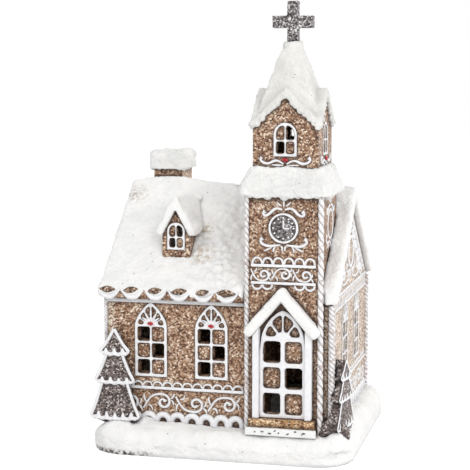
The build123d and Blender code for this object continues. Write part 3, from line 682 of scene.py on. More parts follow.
# %% Base and roofs
ground_heaps = [
    ((-58, -64.5, 14.4), (9.5, 4.5, 2.8)),
    ((-42, -59.5, 14), (6.5, 4.5, 5)),
    ((-30, -62, 13), (22, 6, 4)),
    ((66, -58, 12), (8, 14, 5.5)),
    ((66, -20, 13), (7, 30, 4)),
    ((0, 69, 13), (40, 6, 5)),
    ((-71, 20, 13), (4, 30, 4)),
]
base_drift = drift(
    "snow_base", "base_drift", ground_snow, 0.9 * mm, 14, 2.0 * mm, above_table, ground_heaps
)
base_low, base_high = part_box("snow_base")
shoulder = 8 * mm
left_shoulder = 14 * mm
slump = 0.36
for vertex in base_drift.data.vertices:
    spot = vertex.co
    from_left = (spot.x - base_low.x) / left_shoulder
    others = min(base_high.x - spot.x, spot.y - base_low.y, base_high.y - spot.y) / shoulder
    steep = clamp(1 - min(from_left, others))
    spot.z *= 1 - slump * steep ** 2
drift(
    "nave_roof_front", "front_roof_drift", roof_snow, 0.7 * mm, 10, 1.5 * mm,
    crest=at_the_chimney, rough=by_the_tower,
)
drift("nave_roof_rear", "rear_roof_drift", roof_snow, 0.8 * mm, 10, 1.8 * mm, crest=at_the_chimney)
drift("porch_snow_roof", "porch_drift", roof_snow, 0.4 * mm, 10, 1.0 * mm)

# %% [markdown]
# The snow on the chimney, the tower and the spire ends in ragged edges. Crumbs are strewn along the foot
# of each block, or along the sloping edges of the belfry's gables, before the skin is drawn over them.


# %% Ragged snow
def foot_corners(node):
    """The four lower corners of a node's box, in millimetres and in order round it."""
    low, high = (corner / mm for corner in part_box(node))
    ways = ((low.x, low.y), (high.x, low.y), (high.x, high.y), (low.x, high.y))
    return [Vector((x, y, low.z)) for x, y in ways]


def ragged_foot(node, count, size, inset, lift):
    """Crumbs round the foot of a block of snow."""
    corners = foot_corners(node)
    middle = sum(corners, Vector()) / 4
    ring_points = []
    for corner in corners:
        inward = (middle - corner).normalized() * inset
        ring_points.append(corner + inward + Vector((0, 0, lift)))
    lumps_round = []
    for start, end in zip(ring_points, ring_points[1:] + ring_points[:1]):
        lumps_round += crumbs(start, end, count, size)
    return lumps_round


dormer_low, dormer_high = (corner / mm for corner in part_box("dormer_snow_roof"))
dormer_middle = (dormer_low.x + dormer_high.x) / 2
dormer_heaps = [
    ((dormer_middle, dormer_high.y - 5, dormer_high.z - 4.2), (6, 9, 3.2)),
    ((dormer_low.x + 2.5, dormer_low.y + 9, dormer_low.z + 3), (3.4, 9, 3.4)),
    ((dormer_high.x - 2.5, dormer_low.y + 8, dormer_low.z + 3), (3.8, 9, 3.8)),
]
drift("dormer_snow_roof", "dormer_drift", roof_snow, 0.5 * mm, 30, 1.6 * mm, heaps=dormer_heaps)
cap_crumbs = ragged_foot("chimney_snow_cap", 5, 1.7, 2.4, 0.6)
drift("chimney_snow_cap", "chimney_drift", collar_snow, 0.45 * mm, 8, 2.2 * mm, heaps=cap_crumbs)
collar_crumbs = ragged_foot("tower_snow_collar", 9, 2.2, 3.2, 1.4)
drift("tower_snow_collar", "collar_drift", collar_snow, 0.55 * mm, 10, 2.4 * mm, heaps=collar_crumbs)

outward = {
    "front": Vector((0, -1, 0)),
    "rear": Vector((0, 1, 0)),
    "left": Vector((-1, 0, 0)),
    "right": Vector((1, 0, 0)),
}
gable_rise = 17.3


def across_of(out):
    """The way along a wall, to the right of one who looks at it from outside."""
    return Vector((-out.y, out.x, 0))


gable_edges = []
for side, out in outward.items():
    low, high = (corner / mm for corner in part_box(f"belfry_{side}_wall"))
    across = across_of(out)
    half = abs((high - low).dot(across)) / 2
    face = (low + high) / 2 + out * (abs((high - low).dot(out)) / 2 + 0.8)
    apex = Vector((face.x, face.y, high.z + 0.6))
    for hand in (-1, 1):
        foot = apex + across * (hand * half) - Vector((0, 0, gable_rise))
        gable_edges += crumbs(apex, foot, 8, 1.5)
drift("spire_snow_roof", "spire_drift", spire_snow, 0.5 * mm, 14, 1.5 * mm, heaps=gable_edges)
drift("door_step", "step_drift", ground_snow, 0.3 * mm, 6, 0.5 * mm)

# %% [markdown]
# Window frames, the door, the clock's rim, the bands and the posts are piped icing. A bevel would need
# hundreds of edges picked one by one, so a copy of each solid is swollen until its inner corners fill,
# skinned again and shrunk back, and its panes get round corners. The arches are drawn up to a point, and
# frames on the side walls are pressed flat, as on the real piece.


# %% Icing frames
def soften(node, name, grow, shrink, voxel=0.3 * mm):
    """A copy of a node with filled corners and an uneven surface."""
    piece = copy_of(node, name)
    modify(piece, "REMESH", mode="VOXEL", voxel_size=voxel)
    modify(piece, "DISPLACE", strength=grow, mid_level=0)
    modify(piece, "REMESH", mode="VOXEL", voxel_size=voxel)
    modify(piece, "SMOOTH", factor=0.5, iterations=4)
    modify(piece, "DISPLACE", strength=-shrink, mid_level=0)
    modify(piece, "DISPLACE", texture=crust, strength=0.4 * mm, mid_level=0.5, texture_coords="LOCAL")
    return piece


def draw_up(piece, middle, across, spring, top, squeeze, lift):
    """Above the spring of an arch the sides draw in and the top rises."""
    for vertex in piece.data.vertices:
        share = clamp((vertex.co.z - spring) / (top - spring))
        offset = (vertex.co - middle).dot(across)
        vertex.co -= across * (offset * squeeze * share ** 1.3)
        vertex.co.z += lift * share


def press(piece, face, out, sink, share):
    """Sink a piece into its wall and press what stands proud to a share of its relief."""
    for vertex in piece.data.vertices:
        vertex.co -= out * sink
        proud = (vertex.co - face).dot(out)
        if proud > 0:
            vertex.co -= out * (proud * (1 - share))


def back_of(node, out):
    """The middle of a node's back, on the wall behind it."""
    low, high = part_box(node)
    return (low + high) / 2 - out * (abs((high - low).dot(out)) / 2)


relief = {"front": 1.0, "rear": 1.0, "left": 0.5, "right": 0.5}
spring_height = 29 * mm
arch_squeeze = 0.38
arch_lift = 1.0 * mm
window_nodes = sorted(name for name in nodes if "_window" in name)
for name in window_nodes:
    side = name.split("_")[2] if name.count("_") > 1 else "front"
    out = outward[side]
    shrink = 0.75 * mm if name.startswith("nave") else 1.0 * mm
    piece = soften(name, f"{name}_icing", 0.5 * mm, shrink)
    press(piece, back_of(name, out), out, 0.4 * mm, relief[side])
    if name.startswith("nave"):
        low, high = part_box(name)
        spring = low.z + spring_height
        draw_up(piece, (low + high) / 2, across_of(out), spring, high.z, arch_squeeze, arch_lift)
    dress(piece, white_icing, "icing", name)

low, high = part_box("door_frame")
door_icing = soften("door_frame", "door_frame_icing", 1.1 * mm, 1.1 * mm, 0.35 * mm)
door_spring = low.z + 0.62 * (high.z - low.z)
door_squeeze = 0.3
door_lift = 0.6 * mm
draw_up(door_icing, (low + high) / 2, Vector((1, 0, 0)), door_spring, high.z, door_squeeze, door_lift)
dress(door_icing, white_icing, "icing", "door_frame")
rim_icing = soften("clock_rim", "clock_rim_icing", 0.3 * mm, 0.5 * mm)
press(rim_icing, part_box("clock_rim")[1], outward["front"], 0.3 * mm, 1.0)
dress(rim_icing, white_icing, "icing", "clock_rim")
for name in ("piped_bands", "porch_posts"):
    dress(soften(name, f"{name}_icing", 0.4 * mm, 0.35 * mm, 0.35 * mm), white_icing, "icing", name)

# %% [markdown]
# The corner mouldings are twisted ropes. Strands could be wound one by one, but they are cast in one, so
# a lobed ring is swept up by the Screw modifier, which turns it as it climbs. The distance from the rope's
# middle is kept as an attribute, for the brown wash in the grooves.


# %% Twisted ropes
def rope(corner, foot, top, radius, strands, lay):
    """A rope that stands at a corner: so many strands, and one turn for each lay of height."""
    height = top - foot
    turns = max(1, round(height / lay))
    bpy.ops.mesh.primitive_circle_add(vertices=24 * strands, radius=radius)
    piece = bpy.context.object
    for vertex in piece.data.vertices:
        angle = strands * math.atan2(vertex.co.y, vertex.co.x) / 2
        vertex.co *= 0.68 + 0.26 * abs(math.cos(angle)) ** 0.7 + 0.06 * abs(math.cos(4 * angle))
    modify(piece, "SCREW", angle=-math.tau, screw_offset=height / turns, iterations=turns,
           steps=18, render_steps=18, axis="Z", use_normal_calculate=True)
    bpy.ops.object.mode_set(mode="EDIT")
    bpy.ops.mesh.select_all(action="SELECT")
    bpy.ops.mesh.remove_doubles(threshold=0.01 * mm)
    bpy.ops.mesh.select_all(action="DESELECT")
    bpy.ops.mesh.select_mode(type="EDGE")
    bpy.ops.mesh.select_non_manifold()
    bpy.ops.mesh.edge_face_add()
    bpy.ops.mesh.select_all(action="SELECT")
    bpy.ops.mesh.normals_make_consistent(inside=False)
    bpy.ops.object.mode_set(mode="OBJECT")
    groove_depth = 0.34
    groove = piece.data.attributes.new("groove", "FLOAT", "POINT")
    for vertex, mark in zip(piece.data.vertices, groove.data):
        mark.value = (1 - vertex.co.xy.length / radius) / groove_depth
    piece.location = (corner[0], corner[1], foot)
    settle(piece)
    return piece


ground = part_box("snow_base")[1].z
nave_low = Vector((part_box("nave_left_gable")[0].x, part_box("nave_front_wall")[0].y, ground))
nave_high = Vector((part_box("nave_right_gable")[1].x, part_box("nave_rear_wall")[1].y, 0))
tower_low, tower_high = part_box("tower_front_wall")
rope_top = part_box("nave_ropes")[1].z
corners = [
    (nave_low.x, nave_low.y, 1.1 * mm),
    (nave_low.x, nave_high.y, 2 * mm),
    (nave_high.x, nave_low.y, 2 * mm),
    (nave_high.x, nave_high.y, 2 * mm),
]
ropes = [rope((x, y), ground, rope_top, radius, 3, 4 * radius) for x, y, radius in corners]
dress(join("nave_twisted_ropes", ropes), rope_icing, "icing", "nave_ropes")
ropes = []
for x, radius in ((tower_low.x, 1.25 * mm), (tower_high.x, 1.65 * mm)):
    ropes.append(rope((x, tower_low.y), ground, tower_high.z, radius, 2, 5.6 * radius))
dress(join("tower_twisted_ropes", ropes), rope_icing, "icing", "tower_ropes")

# %% [markdown]
# Piped icing is a line with a round section. A path curve gets its points, its taper and its thickness,
# and is then made a mesh, because a curve needs only a few points and keeps an even section. Ornaments are
# drawn flat, as on a front wall at the origin, and then set on their own wall: each wall has a turn about
# the upright axis and a point that its ornaments start from.


# %% Piping helpers
def piped(points, radius, swell=None):
    """One line of icing through points on a flat wall, with a taper along it."""
    bpy.ops.curve.primitive_nurbs_path_add()
    line = bpy.context.object
    line.data.splines.clear()
    spline = line.data.splines.new("NURBS")
    spline.points.add(len(points) - 1)
    for index, point in enumerate(spline.points):
        x, z = points[index]
        point.co = (x, 0, z, 1)
        point.radius = swell(index / (len(points) - 1)) if swell else 1
    spline.order_u = 3
    spline.use_endpoint_u = True
    spline.resolution_u = 3
    line.data.bevel_depth = radius
    line.data.bevel_resolution = 2
    line.data.use_fill_caps = True
    only(line)
    bpy.ops.object.convert(target="MESH")
    return bpy.context.object


def set_on(piece, turn, origin):
    """Turn a flat ornament to its wall and move it there."""
    piece.rotation_euler = (0, 0, math.radians(turn))
    piece.location = origin
    settle(piece)
    return piece


def ice(name, lines, turn, origin, *stands_for, flat=1.0):
    """Join piped lines, press them flat, set them on their wall and make them uneven, as a hand would."""
    piece = join(name, lines)
    piece.scale = (1, flat, 1)
    set_on(piece, turn, origin)
    uneven = 0.5 * mm * flat
    modify(piece, "DISPLACE", texture=crust, strength=uneven, mid_level=0.5, texture_coords="LOCAL")
    return dress(piece, white_icing, "icing", *stands_for)


def leaf(share):
    """Taper of a leaf stroke: pointed at both ends."""
    return 0.25 + 1.1 * math.sin(math.pi * share)


def stem(share):
    """Taper of a scroll: thin at the tail, with a bulb at the end."""
    return 0.7 + 0.4 * math.sin(math.pi * share) + (0.9 if share > 0.95 else 0)


print("piping helpers ready")

# %% [markdown]
# Two ornaments run along the walls: a vine of scrolls with leaf strokes, and a row of small arches. Each
# is drawn from one repeat, so that the same few strokes fill any length, as a decorator fills a border.


# %% Running ornaments
def spiral(x, z, radius, start, turns, flip):
    """Points of a scroll that winds in to its middle, from a start angle in degrees."""
    points = []
    steps = round(14 * turns)
    for step in range(steps + 1):
        share = step / steps
        angle = math.radians(start) + math.tau * turns * share
        reach = radius * (1 - 0.8 * share)
        points.append((x + reach * math.cos(angle), z + flip * reach * math.sin(angle)))
    return points


def scroll_frieze(left, right, low, high, count, radius):
    """Running vine: scrolls that wind up and down in turn, with leaf strokes between."""
    wide = (right - left) / count
    tall = high - low
    half = (low + high) / 2
    lines = []
    for index in range(count):
        flip = 1 if index % 2 == 0 else -1
        start = left + index * wide

        def at(u, v):
            return (start + u * wide, half + flip * (v - 0.5) * tall)

        tail = [at(-0.06, 0.86), at(0.04, 0.55), at(0.16, 0.22), at(0.34, 0.06)]
        x, z = at(0.56, 0.48)
        curl = spiral(x, z, 0.43 * tall, -90, 1.2, flip)
        lines.append(piped(tail + curl, radius, stem))
        lines.append(piped([at(0.03, 0.5), at(-0.06, 0.3), at(-0.04, 0.04)], radius, leaf))
        lines.append(piped([at(0.08, 0.72), at(0.2, 0.62), at(0.22, 0.98)], radius, leaf))
        lines.append(piped([at(0.76, 0.3), at(0.88, 0.24), at(0.9, -0.02)], radius, leaf))
        lines.append(piped([at(0.78, 0.34), at(0.9, 0.42), at(0.86, 0.66)], radius, leaf))
    return lines


def arch_row(left, right, foot, rise, count, radius):
    """Row of small arches on a line, or hanging from it where the rise is negative."""
    wide = (right - left) / count
    lines = []
    for index in range(count):
        points = []
        for step in range(9):
            angle = math.pi * step / 8
            x = left + wide * (index + 0.5 - 0.46 * math.cos(angle))
            points.append((x, foot + rise * math.sin(angle) ** 0.8))
        lines.append(piped(points, radius))
    return lines


print("vine and arches ready")

# %% [markdown]
# Round the foot of every nave wall run the same rows: fat bumps on the snow, a running vine, a sill line
# and a row of small arches. On the front the sill line is a solid of its own, so only the rows are added.

# %% Nave skirt
bump_top = 5.2 * mm
vine_low = 7 * mm
vine_high = 17.2 * mm
sill_line = 20.3 * mm
sill_top = sill_line + 0.6 * mm
arch_rise = 2.7 * mm
bump_pitch = 8.8 * mm
vine_pitch = 17.5 * mm
arch_pitch = 5.8 * mm
walls = {
    "front": (0, Vector((0, nave_low.y, ground)), nave_low.x + 4 * mm, tower_low.x - 3 * mm),
    "rear": (180, Vector((0, nave_high.y, ground)), -nave_high.x + 4 * mm, -nave_low.x - 4 * mm),
    "right": (90, Vector((nave_high.x, 0, ground)), nave_low.y + 4 * mm, nave_high.y - 4 * mm),
    "left": (-90, Vector((nave_low.x, 0, ground)), -nave_high.y + 4 * mm, -nave_low.y - 4 * mm),
}
for name, (turn, origin, left, right) in walls.items():
    length = right - left
    lines = arch_row(left, right, 0, bump_top, round(length / bump_pitch), 1.75 * mm)
    lines += scroll_frieze(left, right, vine_low, vine_high, round(length / vine_pitch), 0.72 * mm)
    lines += arch_row(left, right, sill_top, arch_rise, round(length / arch_pitch), 0.5 * mm)
    if name != "front":
        lines.append(piped([(left, sill_line), (right, sill_line)], 0.75 * mm))
    ice(f"nave_{name}_skirt", lines, turn, origin, flat=relief[name])

# %% [markdown]
# The front and rear eaves carry swags of icing. Above each crescent the recessed biscuit shows as a dark
# lens of painted shade, and between two of them as a point. A lens is a ball pressed flat, a point is a
# cone, and every one differs.

# %% Eave swags
roof_low, roof_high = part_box("nave_roof_front")
swag_count = 10
swag_pitch = (roof_high.x - roof_low.x) / swag_count
lens_wide = 10.5 * mm
lens_tall = 4.4 * mm
crescent = [(-0.47, 5.6), (-0.3, 2.2), (0, 0.6), (0.3, 2.2), (0.47, 5.6)]


def lens(x, z, wide, tall, tilt):
    """A ball pressed flat, with pointed ends."""
    bpy.ops.mesh.primitive_uv_sphere_add(segments=16, ring_count=8, radius=1)
    piece = bpy.context.object
    for vertex in piece.data.vertices:
        vertex.co.z *= 1 - 0.6 * abs(vertex.co.x) ** 1.5
    piece.scale = (wide / 2, 0.6 * mm, tall / 2)
    piece.rotation_euler = (0, math.radians(tilt), 0)
    piece.location = (x, 0, z)
    settle(piece)
    return piece


def peak(x, z, wide, tall):
    """A biscuit patch that points up between two swags."""
    bpy.ops.mesh.primitive_cone_add(vertices=16, radius1=1, radius2=0.12, depth=1)
    piece = bpy.context.object
    piece.scale = (wide / 2, 0.7 * mm, tall)
    piece.location = (x, 0, z + tall / 2)
    settle(piece)
    return piece


for name, turn, eave_y, left, right in (
    ("front", 0, roof_low.y, roof_low.x, tower_low.x - 2 * mm),
    ("rear", 180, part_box("nave_roof_rear")[1].y, -roof_high.x, -roof_low.x),
):
    lenses = []
    points = []
    swags = []
    for index in range(swag_count):
        middle = left + (index + 0.5) * swag_pitch
        if left + 4 * mm < middle < right - 3 * mm:
            size = dice.uniform(0.8, 1.25)
            aside = dice.uniform(-1, 1) * mm
            tilt = dice.uniform(-12, 12)
            lenses.append(lens(middle + aside, 5.2 * mm, lens_wide * size, lens_tall * size, tilt))
            swag = [(middle + x * swag_pitch, z * mm) for x, z in crescent]
            swags.append(piped(swag, 1.15 * mm, leaf))
        gap = left + index * swag_pitch
        if left + 2 * mm < gap < right - 2 * mm:
            points.append(peak(gap, 0.3 * mm, 7.5 * mm, dice.uniform(4.2, 5.4) * mm))
    spot = (0, eave_y, roof_low.z)
    # The lenses take the darker glitter as painted shade.
    dress(set_on(join(f"{name}_eave_lenses", lenses), turn, spot), shaded, "gingerbread")
    dress(set_on(join(f"{name}_eave_points", points), turn, spot), gingerbread, "gingerbread")
    ice(f"{name}_eave_swags", swags, turn, spot)

eave_line = [(nave_low.x + 1 * mm, 0), (0, 0), (tower_low.x - 1 * mm, 0)]
ice("eave_line", [piped(eave_line, 0.7 * mm)], 0, (0, nave_low.y - 0.6 * mm, roof_low.z - 1.6 * mm))

# %% [markdown]
# The tower's front has the richest piping: a crown of leaves and two curling arms over the clock, a pair
# of scrolls under it, arches on the upper band, a vine between the bands and swags below. Half of each
# mirrored ornament is drawn, as points in millimetres from the clock's middle.

# %% Tower piping
crown_arm = [(0.8, 9.9), (3.4, 11), (5.8, 9.8), (7.8, 7.5), (10.2, 6.2), (11.8, 7.8), (10.2, 9.2)]
foot_arm = [(1.6, -9.2), (5, -9.7), (8.8, -10.1), (12, -8.9), (13.2, -6.8), (11.5, -5.6)]
side_leaves = [
    [(1.1, 11.9), (2.6, 12.6), (4, 14.3)],
    [(5.8, -10.1), (8.4, -11.7), (11, -12.8)],
    [(4.2, -10), (6, -11.2), (5.6, -13.2)],
    [(1.6, -9.6), (0.2, -10.6), (0.9, -13)],
]
top_leaf = [(0, 11.4), (0, 13.6), (0, 16.2)]


def flourish(x, z, scale=1.0):
    """Leaves and scrolls round a clock or a ring."""
    def put(points, side):
        return [(x + side * a * scale * mm, z + b * scale * mm) for a, b in points]

    lines = [piped(put(top_leaf, 1), 0.75 * scale * mm, leaf)]
    for side in (-1, 1):
        lines.append(piped(put(crown_arm, side), 0.75 * scale * mm, stem))
        lines.append(piped(put(foot_arm, side), 0.75 * scale * mm, stem))
        lines += [piped(put(points, side), 0.7 * scale * mm, leaf) for points in side_leaves]
    return lines


clock_low, clock_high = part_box("clock_rim")
clock = (clock_low + clock_high) / 2
band_high = clock.z - 20.8 * mm
band_low = clock.z - 30.3 * mm
reach = (tower_high.x - tower_low.x) / 2 - 3 * mm
lines = flourish(0, clock.z)
lines += arch_row(-reach, reach, band_high + 0.8 * mm, 3.6 * mm, 6, 0.62 * mm)
lines += scroll_frieze(-reach, reach, band_low + 0.9 * mm, band_high - 0.9 * mm, 3, 0.6 * mm)
for side in (-1, 1):
    inner = side * 6 * mm
    outer = side * reach
    lines += arch_row(min(inner, outer), max(inner, outer), band_low - 0.7 * mm, -2.6 * mm, 2, 0.62 * mm)
ice("tower_front_piping", lines, 0, (clock.x, tower_low.y, 0))


def ring(radius, thick, z):
    """A round line of icing at a height on a flat wall."""
    bpy.ops.mesh.primitive_torus_add(
        major_radius=radius, minor_radius=thick, major_segments=40, minor_segments=8,
        location=(0, 0, z), rotation=(math.pi / 2, 0, 0),
    )
    return bpy.context.object


right_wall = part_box("tower_right_wall")
left_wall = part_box("tower_left_wall")
for name, turn, spot in (
    ("right", 90, (right_wall[1].x, -33 * mm, 0)),
    ("left", -90, (left_wall[0].x, -40 * mm, 0)),
):
    lines = flourish(0, clock.z) + [ring(8 * mm, 0.8 * mm, clock.z)]
    ice(f"tower_{name}_piping", lines, turn, spot, flat=relief[name])

# %% [markdown]
# The clock's dial has twelve dots and two hands, all dabs of icing on the dark glitter. The hands are part
# of the casting and don't turn, so they are two short piped lines.

# %% Clock face
dial_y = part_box("clock_dial")[0].y
dot_circle = 5.6 * mm
marks = []
for hour in range(12):
    angle = math.tau * hour / 12
    spot = (dot_circle * math.sin(angle), 0, clock.z + dot_circle * math.cos(angle))
    bpy.ops.mesh.primitive_ico_sphere_add(subdivisions=2, radius=0.55 * mm, location=spot)
    marks.append(bpy.context.object)
marks.append(piped([(0, clock.z), (0, clock.z + 2 * mm), (0, clock.z + 4.3 * mm)], 0.45 * mm))
marks.append(piped([(0, clock.z), (1.6 * mm, clock.z), (3.3 * mm, clock.z - 0.3 * mm)], 0.5 * mm))
dress(set_on(join("clock_marks", marks), 0, (clock.x, dial_y, 0)), white_icing, "icing")

# %% [markdown]
# Each gable has a lattice band between the eaves, piped lines and arches along the rakes, and scrolls
# round a ring in the triangle. The photograph shows only the right gable, and both get the same piping.

# %% Gable piping
eave_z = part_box("nave_front_wall")[1].z - 4.5 * mm
peak_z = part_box("nave_right_gable")[1].z
half_gable = (nave_high.y - nave_low.y) / 2
ridge_y = (nave_high.y + nave_low.y) / 2
slope = math.atan2(peak_z - eave_z, half_gable)
band_foot = eave_z - 7.5 * mm
ring_z = eave_z + 20 * mm
wide = half_gable - 3.5 * mm
cells = 26
step = 2 * wide / cells
for name, turn, wall_x in (("right", 90, nave_high.x), ("left", -90, nave_low.x)):
    lines = []
    for z in (band_foot, eave_z):
        lines.append(piped([(-wide, z), (0, z), (wide, z)], 0.65 * mm))
    for index in range(cells):
        x = -wide + index * step
        lines.append(piped([(x, band_foot), (x + step, eave_z)], 0.32 * mm))
        lines.append(piped([(x, eave_z), (x + step, band_foot)], 0.32 * mm))
    for side in (-1, 1):
        low_point = (side * (half_gable - 8 * mm), eave_z + 2 * mm)
        high_point = (0, peak_z - 6 * mm)
        middle = tuple((a + b) / 2 for a, b in zip(low_point, high_point))
        lines.append(piped([low_point, middle, high_point], 0.75 * mm))
        length = math.hypot(high_point[0] - low_point[0], high_point[1] - low_point[1])
        row = arch_row(0.1 * length, 0.92 * length, -0.6 * mm, -2.6 * mm, 9, 0.6 * mm)
        row += scroll_frieze(0.14 * length, 0.84 * length, -11.5 * mm, -4 * mm, 4, 0.85 * mm)
        row = join("rake row", row)
        row.scale = (-side, 1, 1)
        row.rotation_euler = (0, side * slope, 0)
        row.location = (low_point[0], 0, low_point[1])
        settle(row)
        outside_out(row)
        lines.append(row)
        curl_x = side * 25 * mm
        tail = [(side * 4 * mm, eave_z + 6 * mm), (side * 14 * mm, eave_z + 3 * mm)]
        curl = spiral(0, eave_z + 9.5 * mm, 6 * mm, -90, 1.5, 1)
        lines.append(piped(tail + [(curl_x + side * a, b) for a, b in curl], 0.85 * mm, stem))
    lines += flourish(0, ring_z, 1.1)
    lines.append(ring(8.6 * mm, 1.0 * mm, ring_z))
    ice(f"{name}_gable_piping", lines, turn, (wall_x, ridge_y, 0), flat=0.7)

# %% [markdown]
# Five petals of icing fan out in the head of each nave window. On the front and rear windows red sugar
# berries sit at their foot. Under each belfry window two small swags meet at another bunch of berries.

# %% Fan petals, berries and belfry swags
bunch = [(-1.0, 0.1, 0.7), (0.1, 0.55, 0.62), (1.0, -0.1, 0.72), (0.15, -0.6, 0.6)]


def berries(middle, out):
    """A bunch of berries on the wall that faces out."""
    across = across_of(out)
    fruit = []
    for aside, up, size in bunch:
        spot = middle + across * (aside * mm) + Vector((0, 0, up * mm))
        bpy.ops.mesh.primitive_ico_sphere_add(subdivisions=2, radius=size * mm, location=spot)
        fruit.append(bpy.context.object)
    return fruit


def turn_of(out):
    """The turn that sets a flat front ornament on the wall that faces out."""
    return math.degrees(math.atan2(out.x, -out.y))


fan_foot = 30.4 * mm
petals = [(32, 6.0), (60, 7.2), (90, 9.4), (120, 7.2), (148, 6.0)]
fruit = []
for name in window_nodes:
    if not name.startswith("nave"):
        continue
    side = name.split("_")[2]
    out = outward[side]
    hub = back_of(name, out)
    hub.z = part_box(name)[0].z + fan_foot
    lines = []
    for angle, length in petals:
        way = (math.cos(math.radians(angle)), math.sin(math.radians(angle)))
        points = [(way[0] * r * mm, way[1] * r * mm) for r in (1.2, length / 2, length)]
        lines.append(piped(points, (0.3 + 0.45 * relief[side]) * mm, leaf))
    ice(f"{name}_petals", lines, turn_of(out), hub + out * (0.5 * mm * relief[side]), flat=relief[side])
    if side in ("front", "rear"):
        fruit += berries(hub + out * (1.6 * mm), out)
dress(join("window_berries", fruit), berry_red, None)

upper_swag = [(0.9, -2.2), (3.2, -0.6), (6.2, -0.4), (9, -2.2), (12.2, -1.8), (14.2, 0.2), (12.8, 1.3)]
lower_swag = [(1, -2.9), (4, -3), (7.6, -2.8)]
fruit = []
for side, out in outward.items():
    low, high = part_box(f"belfry_window_{side}")
    spot = (low + high) / 2 - out * (0.6 * mm)
    spot.z = low.z - 1.6 * mm
    fruit += berries(spot + out * (0.6 * mm), out)
    lines = []
    for hand in (-1, 1):
        lines.append(piped([(hand * x * mm, z * mm) for x, z in upper_swag], 0.65 * mm, stem))
        lines.append(piped([(hand * x * mm, z * mm) for x, z in lower_swag], 0.6 * mm, leaf))
    ice(f"belfry_{side}_swags", lines, turn_of(out), spot)
dress(join("belfry_berries", fruit), berry_red, None)

# %% [markdown]
# The trees are flat biscuits in three tiers. On the real piece the tips of the boughs turn up, the lowest
# hem hangs clear of the ground and the foot is cut in. These bends are too small for the solid, so the
# vertices of the biscuit and of its border are moved by the same functions.


# %% Bends of a tree
def along_of(turn):
    """The way along a flat ornament, for the turn that sets it up."""
    return Vector((math.cos(math.radians(turn)), math.sin(math.radians(turn)), 0))


def tier_size(tier, wide, tall):
    """Half the width of a tier, and the height of its foot."""
    return wide / 2 * (tier + 2) / 5, tall * (1 - (tier / 3) ** 1.12)


def turn_up(piece, turn, foot, wide, tall):
    """Turn up the tips of the boughs, on a tree that stands on its foot."""
    along = along_of(turn)
    for vertex in piece.data.vertices:
        place = vertex.co - foot
        for tier in (1, 2, 3):
            half, base = tier_size(tier, wide, tall)
            if place.z > base - 1.5 * mm:
                aside = min(1.1, abs(place.dot(along)) / half)
                fade = clamp(1 - (place.z - base) / (12 * mm))
                vertex.co.z += fade * (1.4 * aside ** 3 - 0.4) * mm
                break


def lift_hems(piece, foot, wide, tall, least=0.0):
    """Raise the tiers by a lift for each height, so that the lowest hem hangs clear of the ground."""
    middle_hem = tier_size(2, wide, tall)[1]
    upper_hem = tier_size(1, wide, tall)[1]
    stops = [
        (0.3 * mm, 0.0),
        (2 * mm, 2.2 * mm),
        (middle_hem, 3 * mm),
        (upper_hem, 0.4 * mm),
        (tall, 0.0),
    ]
    for vertex in piece.data.vertices:
        height = max(least, vertex.co.z - foot.z)
        for (low, first), (high, last) in zip(stops, stops[1:]):
            if height < high:
                vertex.co.z += first + clamp((height - low) / (high - low)) * (last - first)
                break


def trim_foot(piece, turn, foot):
    """Below its lowest hem a tree is cut in, more on its outer side."""
    along = along_of(turn)
    for vertex in piece.data.vertices:
        place = vertex.co - foot
        aside = place.dot(along)
        cut = clamp(1 - place.z / (2 * mm)) * (0.6 if aside < 0 else 0.15)
        vertex.co -= along * (aside * cut)


print("tree bends ready")

# %% [markdown]
# Each tree has a border of icing. It flares out to the tip of each bough, and along the foot of each tier
# it has teeth that point up, like snow caught on the boughs. It is drawn flat and set up with its tree.


# %% Trees
def tooth(share):
    """Taper of a tooth: broad at its foot and pointed."""
    return 1.1 - 0.85 * share


def tree_piping(wide, tall, thick):
    """Border lines and teeth of a tree, drawn flat from the middle of its foot."""
    notch = 4.2 * mm
    lift = 1.6 * mm
    lines = []
    start = (0, tall - 0.8 * mm)
    for tier in (1, 2, 3):
        half, base = tier_size(tier, wide, tall)
        for side in (-1, 1):
            tip = (side * half, base + 2.0 * mm)
            out_to = start[0] + 0.48 * (half - start[0])
            flare = (side * out_to, start[1] + 0.56 * (tip[1] - start[1]))
            corner = (side * (half - 0.3 * mm), base + 0.5 * mm)
            inner = (side * (half - 2.6 * mm), base + 0.6 * mm)
            lines.append(piped([(side * start[0], start[1]), flare, tip, corner, inner], 0.9 * thick))
        waves = 2 * (tier + 2)
        hem_half = half - 1.2 * mm
        hem = []
        for wave in range(waves + 1):
            hem.append((hem_half * (2 * wave / waves - 1), base + (1.7 if wave % 2 else 0.4) * mm))
        lines.append(piped(hem, 1.2 * thick))
        for index in range(tier + 2):
            x = half * (0.86 * (2 * index + 1) / (tier + 2) - 0.86)
            top = base + (dice.uniform(3.4, 4.4) + 0.3 * tier) * mm
            stroke = [(x, base + 0.6 * mm), (x, 0.4 * base + 0.6 * top), (x, top)]
            lines.append(piped(stroke, 1.8 * thick, tooth))
        start = (half - notch, base + lift)
    return lines


def roughen(piece, voxel, rounds, depth):
    """Soft edges and a cast surface."""
    modify(piece, "REMESH", mode="VOXEL", voxel_size=voxel)
    modify(piece, "SMOOTH", factor=0.5, iterations=rounds)
    modify(piece, "DISPLACE", texture=crust, strength=depth, mid_level=0.5, texture_coords="LOCAL")


